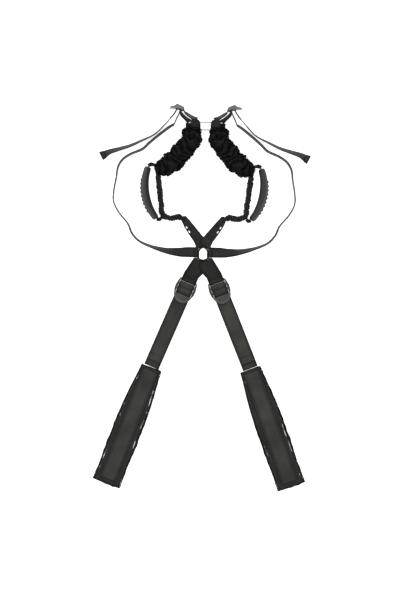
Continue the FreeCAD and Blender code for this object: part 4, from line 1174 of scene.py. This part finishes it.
# ------------------------------------------------------------------ gathered runs
# A tube of thin cloth, gathered to half its length, covers the folded strap between each plush
# sleeve and the crossing, so it stands in small uneven ruffles.
GATHER_ROUTE = [(113.5, 295.4), (110.8, 276.0), (107.8, 252.0), (105.0, 231.0), (103.0, 209.0),
                (99.3, 198.2), (91.0, 193.6), (80.0, 191.6), (71.0, 193.2), (62.0, 195.0),
                (53.5, 191.0)]
RAIL_ROUTE = [(115.6, 306.0), *GATHER_ROUTE[:-1], (47.6, 188.0)]
gather_cloth = webbing_finish("gather_cloth", (0.005, 0.005, 0.005), (0.018, 0.018, 0.0165), 0.12,
                              0.8 * MM)
for side_name, side in SIDES:
    rail_low = 3.2 * MM if side < 0 else 4.8 * MM
    rail = level_strap(RAIL_ROUTE, 10 * MM, 2 * WEB, rail_low, side, 1.5 * MM)
    strap = make_piece(f"rail_strap_web_{side_name}", cross_webbing, *rail)
    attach(strap, "harness")
    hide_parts(f"rail_strap_{side_name}")
    line = smooth_route(flipped(GATHER_ROUTE, side), 0.55 * MM)
    gone = lengths_along(line)
    way = headings(line)
    left = np.stack([-way[:, 1], way[:, 0]], axis=1)
    turn = np.linspace(0, 2 * np.pi, 36, endpoint=False)
    ring = np.stack([line[:, None, 0] + left[:, None, 0] * np.cos(turn) * 6 * MM,
                     line[:, None, 1] + left[:, None, 1] * np.cos(turn) * 6 * MM,
                     np.broadcast_to(6.5 * MM * (1 + np.sin(turn)), (len(line), 36))], axis=-1)
    drift = ripple(ring.reshape(-1, 3), 24 * MM, 61).reshape(len(line), 36)
    ruffle = np.abs(np.sin(np.pi * (gone[:, None] / (6.2 * MM) + 0.55 * drift
                                    + 0.25 * np.sin(2 * turn)[None]))) ** 0.8
    swell = ripple(ring.reshape(-1, 3), 17 * MM, 62).reshape(len(line), 36)
    ends = np.clip(np.minimum(gone, gone[-1] - gone) / (5 * MM), 0, 1) ** 0.5
    scale = (0.80 + 0.34 * ruffle + 0.16 * swell) * (0.72 + 0.28 * ends[:, None])
    high = np.maximum(6.4 * MM * (1 + np.minimum(scale, 1.05) * np.sin(turn)[None]), 0.1 * MM)
    points = laid_round(line, left, 6.6 * MM * scale * np.cos(turn)[None], high)
    uv = np.stack(np.broadcast_arrays(gone[:, None], (turn * 7 * MM)[None]), axis=-1).reshape(-1, 2)
    sleeve = make_piece(f"gathered_run_{side_name}", gather_cloth, points,
                        ring_faces(len(line), 36), uv)
    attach(sleeve, "harness")
    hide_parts(f"gathered_sleeve_upper_{side_name}", f"gathered_sleeve_lower_{side_name}")


# ------------------------------------------------------------------ hand grips
# Curved handles moulded in firm rubber, with a row of blunt teeth outside and a shallow groove
# for the fingers inside.  A strap through the middle ends in the tabs that they swing on.
GRIP_CENTRE = (27.2, 269.7)
GRIP_RADIUS = 118.5
GRIP_FROM, GRIP_TO = 157.8, 222.2
BAND_FROM, BAND_TO = 156.0, 223.4
GRIP_ROWS, GRIP_AROUND = 330, 44
GRIP_HIGH = 10.5 * MM
TEETH_FROM, TOOTH_STEP, TOOTH_COUNT = 173.95, 4.5, 9


def grip_spot(angle, radius):
    """Place in (out, y), in metres, at an angle in degrees and a radius from the grip's centre."""
    a = np.radians(angle)
    return np.stack(np.broadcast_arrays((GRIP_CENTRE[0] - radius * np.cos(a)) * MM,
                                        (GRIP_CENTRE[1] + radius * np.sin(a)) * MM), axis=-1)


def grip_finish():
    """Moulded rubber, near black inside and along the teeth, with a painted highlight: a greenish
    grey band over the outer part of its back."""
    material = moulded_finish("grip_rubber", (0.0075, 0.0078, 0.009), 0.40, 0.24, 1400.0)
    nodes, links = material.node_tree.nodes, material.node_tree.links
    # Painted highlight: the colour ramp across the grip lays a pale greenish grey band on the outer
    # slope of its back.
    highlight_band = nodes.new("ShaderNodeValToRGB")
    stops = highlight_band.color_ramp.elements
    stops[0].position, stops[0].color = 0.10, (0.004, 0.004, 0.0045, 1)
    stops[1].position, stops[1].color = 0.62, (0.006, 0.006, 0.007, 1)
    for position, colour in ((0.24, (0.075, 0.078, 0.068, 1)), (0.40, (0.030, 0.031, 0.030, 1))):
        stops.new(position).color = colour
    links.new(cloth_place(nodes, links, "cloth")["Y"], highlight_band.inputs["Fac"])
    links.new(highlight_band.outputs["Color"], nodes["Principled BSDF"].inputs["Base Color"])
    return material


grip_rubber = grip_finish()
CUFFS = ([(127.5, 320.6), (132.5, 320.4), (137.0, 317.6)],
         [(105.5, 188.6), (109.5, 187.2), (114.0, 189.2)])
angle = np.linspace(GRIP_FROM, GRIP_TO, GRIP_ROWS)
travel = np.radians(angle - GRIP_FROM) * GRIP_RADIUS
total = travel[-1]
near_end = np.minimum(travel, total - travel)
round_off = 0.55 + 0.45 * np.sqrt(1 - (1 - np.clip(near_end / 7.0, 0, 1)) ** 2)
fuller = 1 - 0.05 * np.cos(2 * np.pi * travel / total)
turn = np.linspace(0, 2 * np.pi, GRIP_AROUND, endpoint=False)
outer = squarer(np.cos(turn), 0.75)
upper = squarer(np.sin(turn), 0.75)
phase = (angle - TEETH_FROM) / TOOTH_STEP
tooth = np.clip(1.35 - 3.6 * np.abs(phase - np.round(phase)), 0, 1) * ((phase > -0.5)
                                                                      & (phase < TOOTH_COUNT - 0.5))
crown = np.clip((np.cos(turn) - 0.35) / 0.3, 0, 1)
groove = np.exp(-((turn - np.pi) / 0.28) ** 2)
across = (8.9 * outer[None] * round_off[:, None] * fuller[:, None]
          + 2.3 * tooth[:, None] * crown[None] + 1.3 * groove[None] * round_off[:, None])
across = np.where(across < 0, across - 2.6 * np.sin(np.pi * travel / total)[:, None]
                  * np.clip(-np.cos(turn), 0, 1)[None] ** 0.5, across)
lift = 10.4 * (1 + upper[None] * (round_off * fuller * 0.96)[:, None])
for side_name, side in SIDES:
    body = f"hand_grip_{side_name}"
    flat = grip_spot(angle[:, None], GRIP_RADIUS + across)
    points = np.concatenate([flat * (side, 1), np.maximum(lift, 0.05)[..., None] * MM], axis=2)
    wrap = np.stack(np.broadcast_arrays((travel * MM)[:, None], (1 - np.cos(turn))[None] / 2),
                    axis=-1).reshape(-1, 2)
    grip = make_piece(f"grip_handle_{side_name}", grip_rubber, points.reshape(-1, 3),
                      ring_faces(GRIP_ROWS, GRIP_AROUND), wrap)
    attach(grip, body)
    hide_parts(f"grip_{side_name}")
    arc = np.linspace(BAND_FROM, BAND_TO, 80)
    line = grip_spot(arc, GRIP_RADIUS) * (side, 1)
    path = at_height(line, GRIP_HIGH)
    band = webbing_mesh(path, (0.0, 0.0, 1.0), 16 * MM, WEB)
    strap = make_piece(f"grip_strap_web_{side_name}", cross_webbing, *band)
    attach(strap, body)
    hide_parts(f"grip_strap_{side_name}")
    tubes = []
    for route in CUFFS:
        line = smooth_route(flipped(route, side), 0.5 * MM)
        path = at_height(line, GRIP_HIGH)
        bulge = (3.9 + 0.9 * np.abs(np.sin(lengths_along(line) / (1.3 * MM)))) * MM
        points, faces, _ = cord_tube(path, bulge, 20)
        tubes.append((points + 0.5 * MM * ripple(points, 5 * MM, 71)[:, None], faces,
                      np.zeros((len(points), 3))))
    cuffs = make_piece(f"grip_cuffs_{side_name}", gather_cloth, *joined(*tubes))
    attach(cuffs, body)
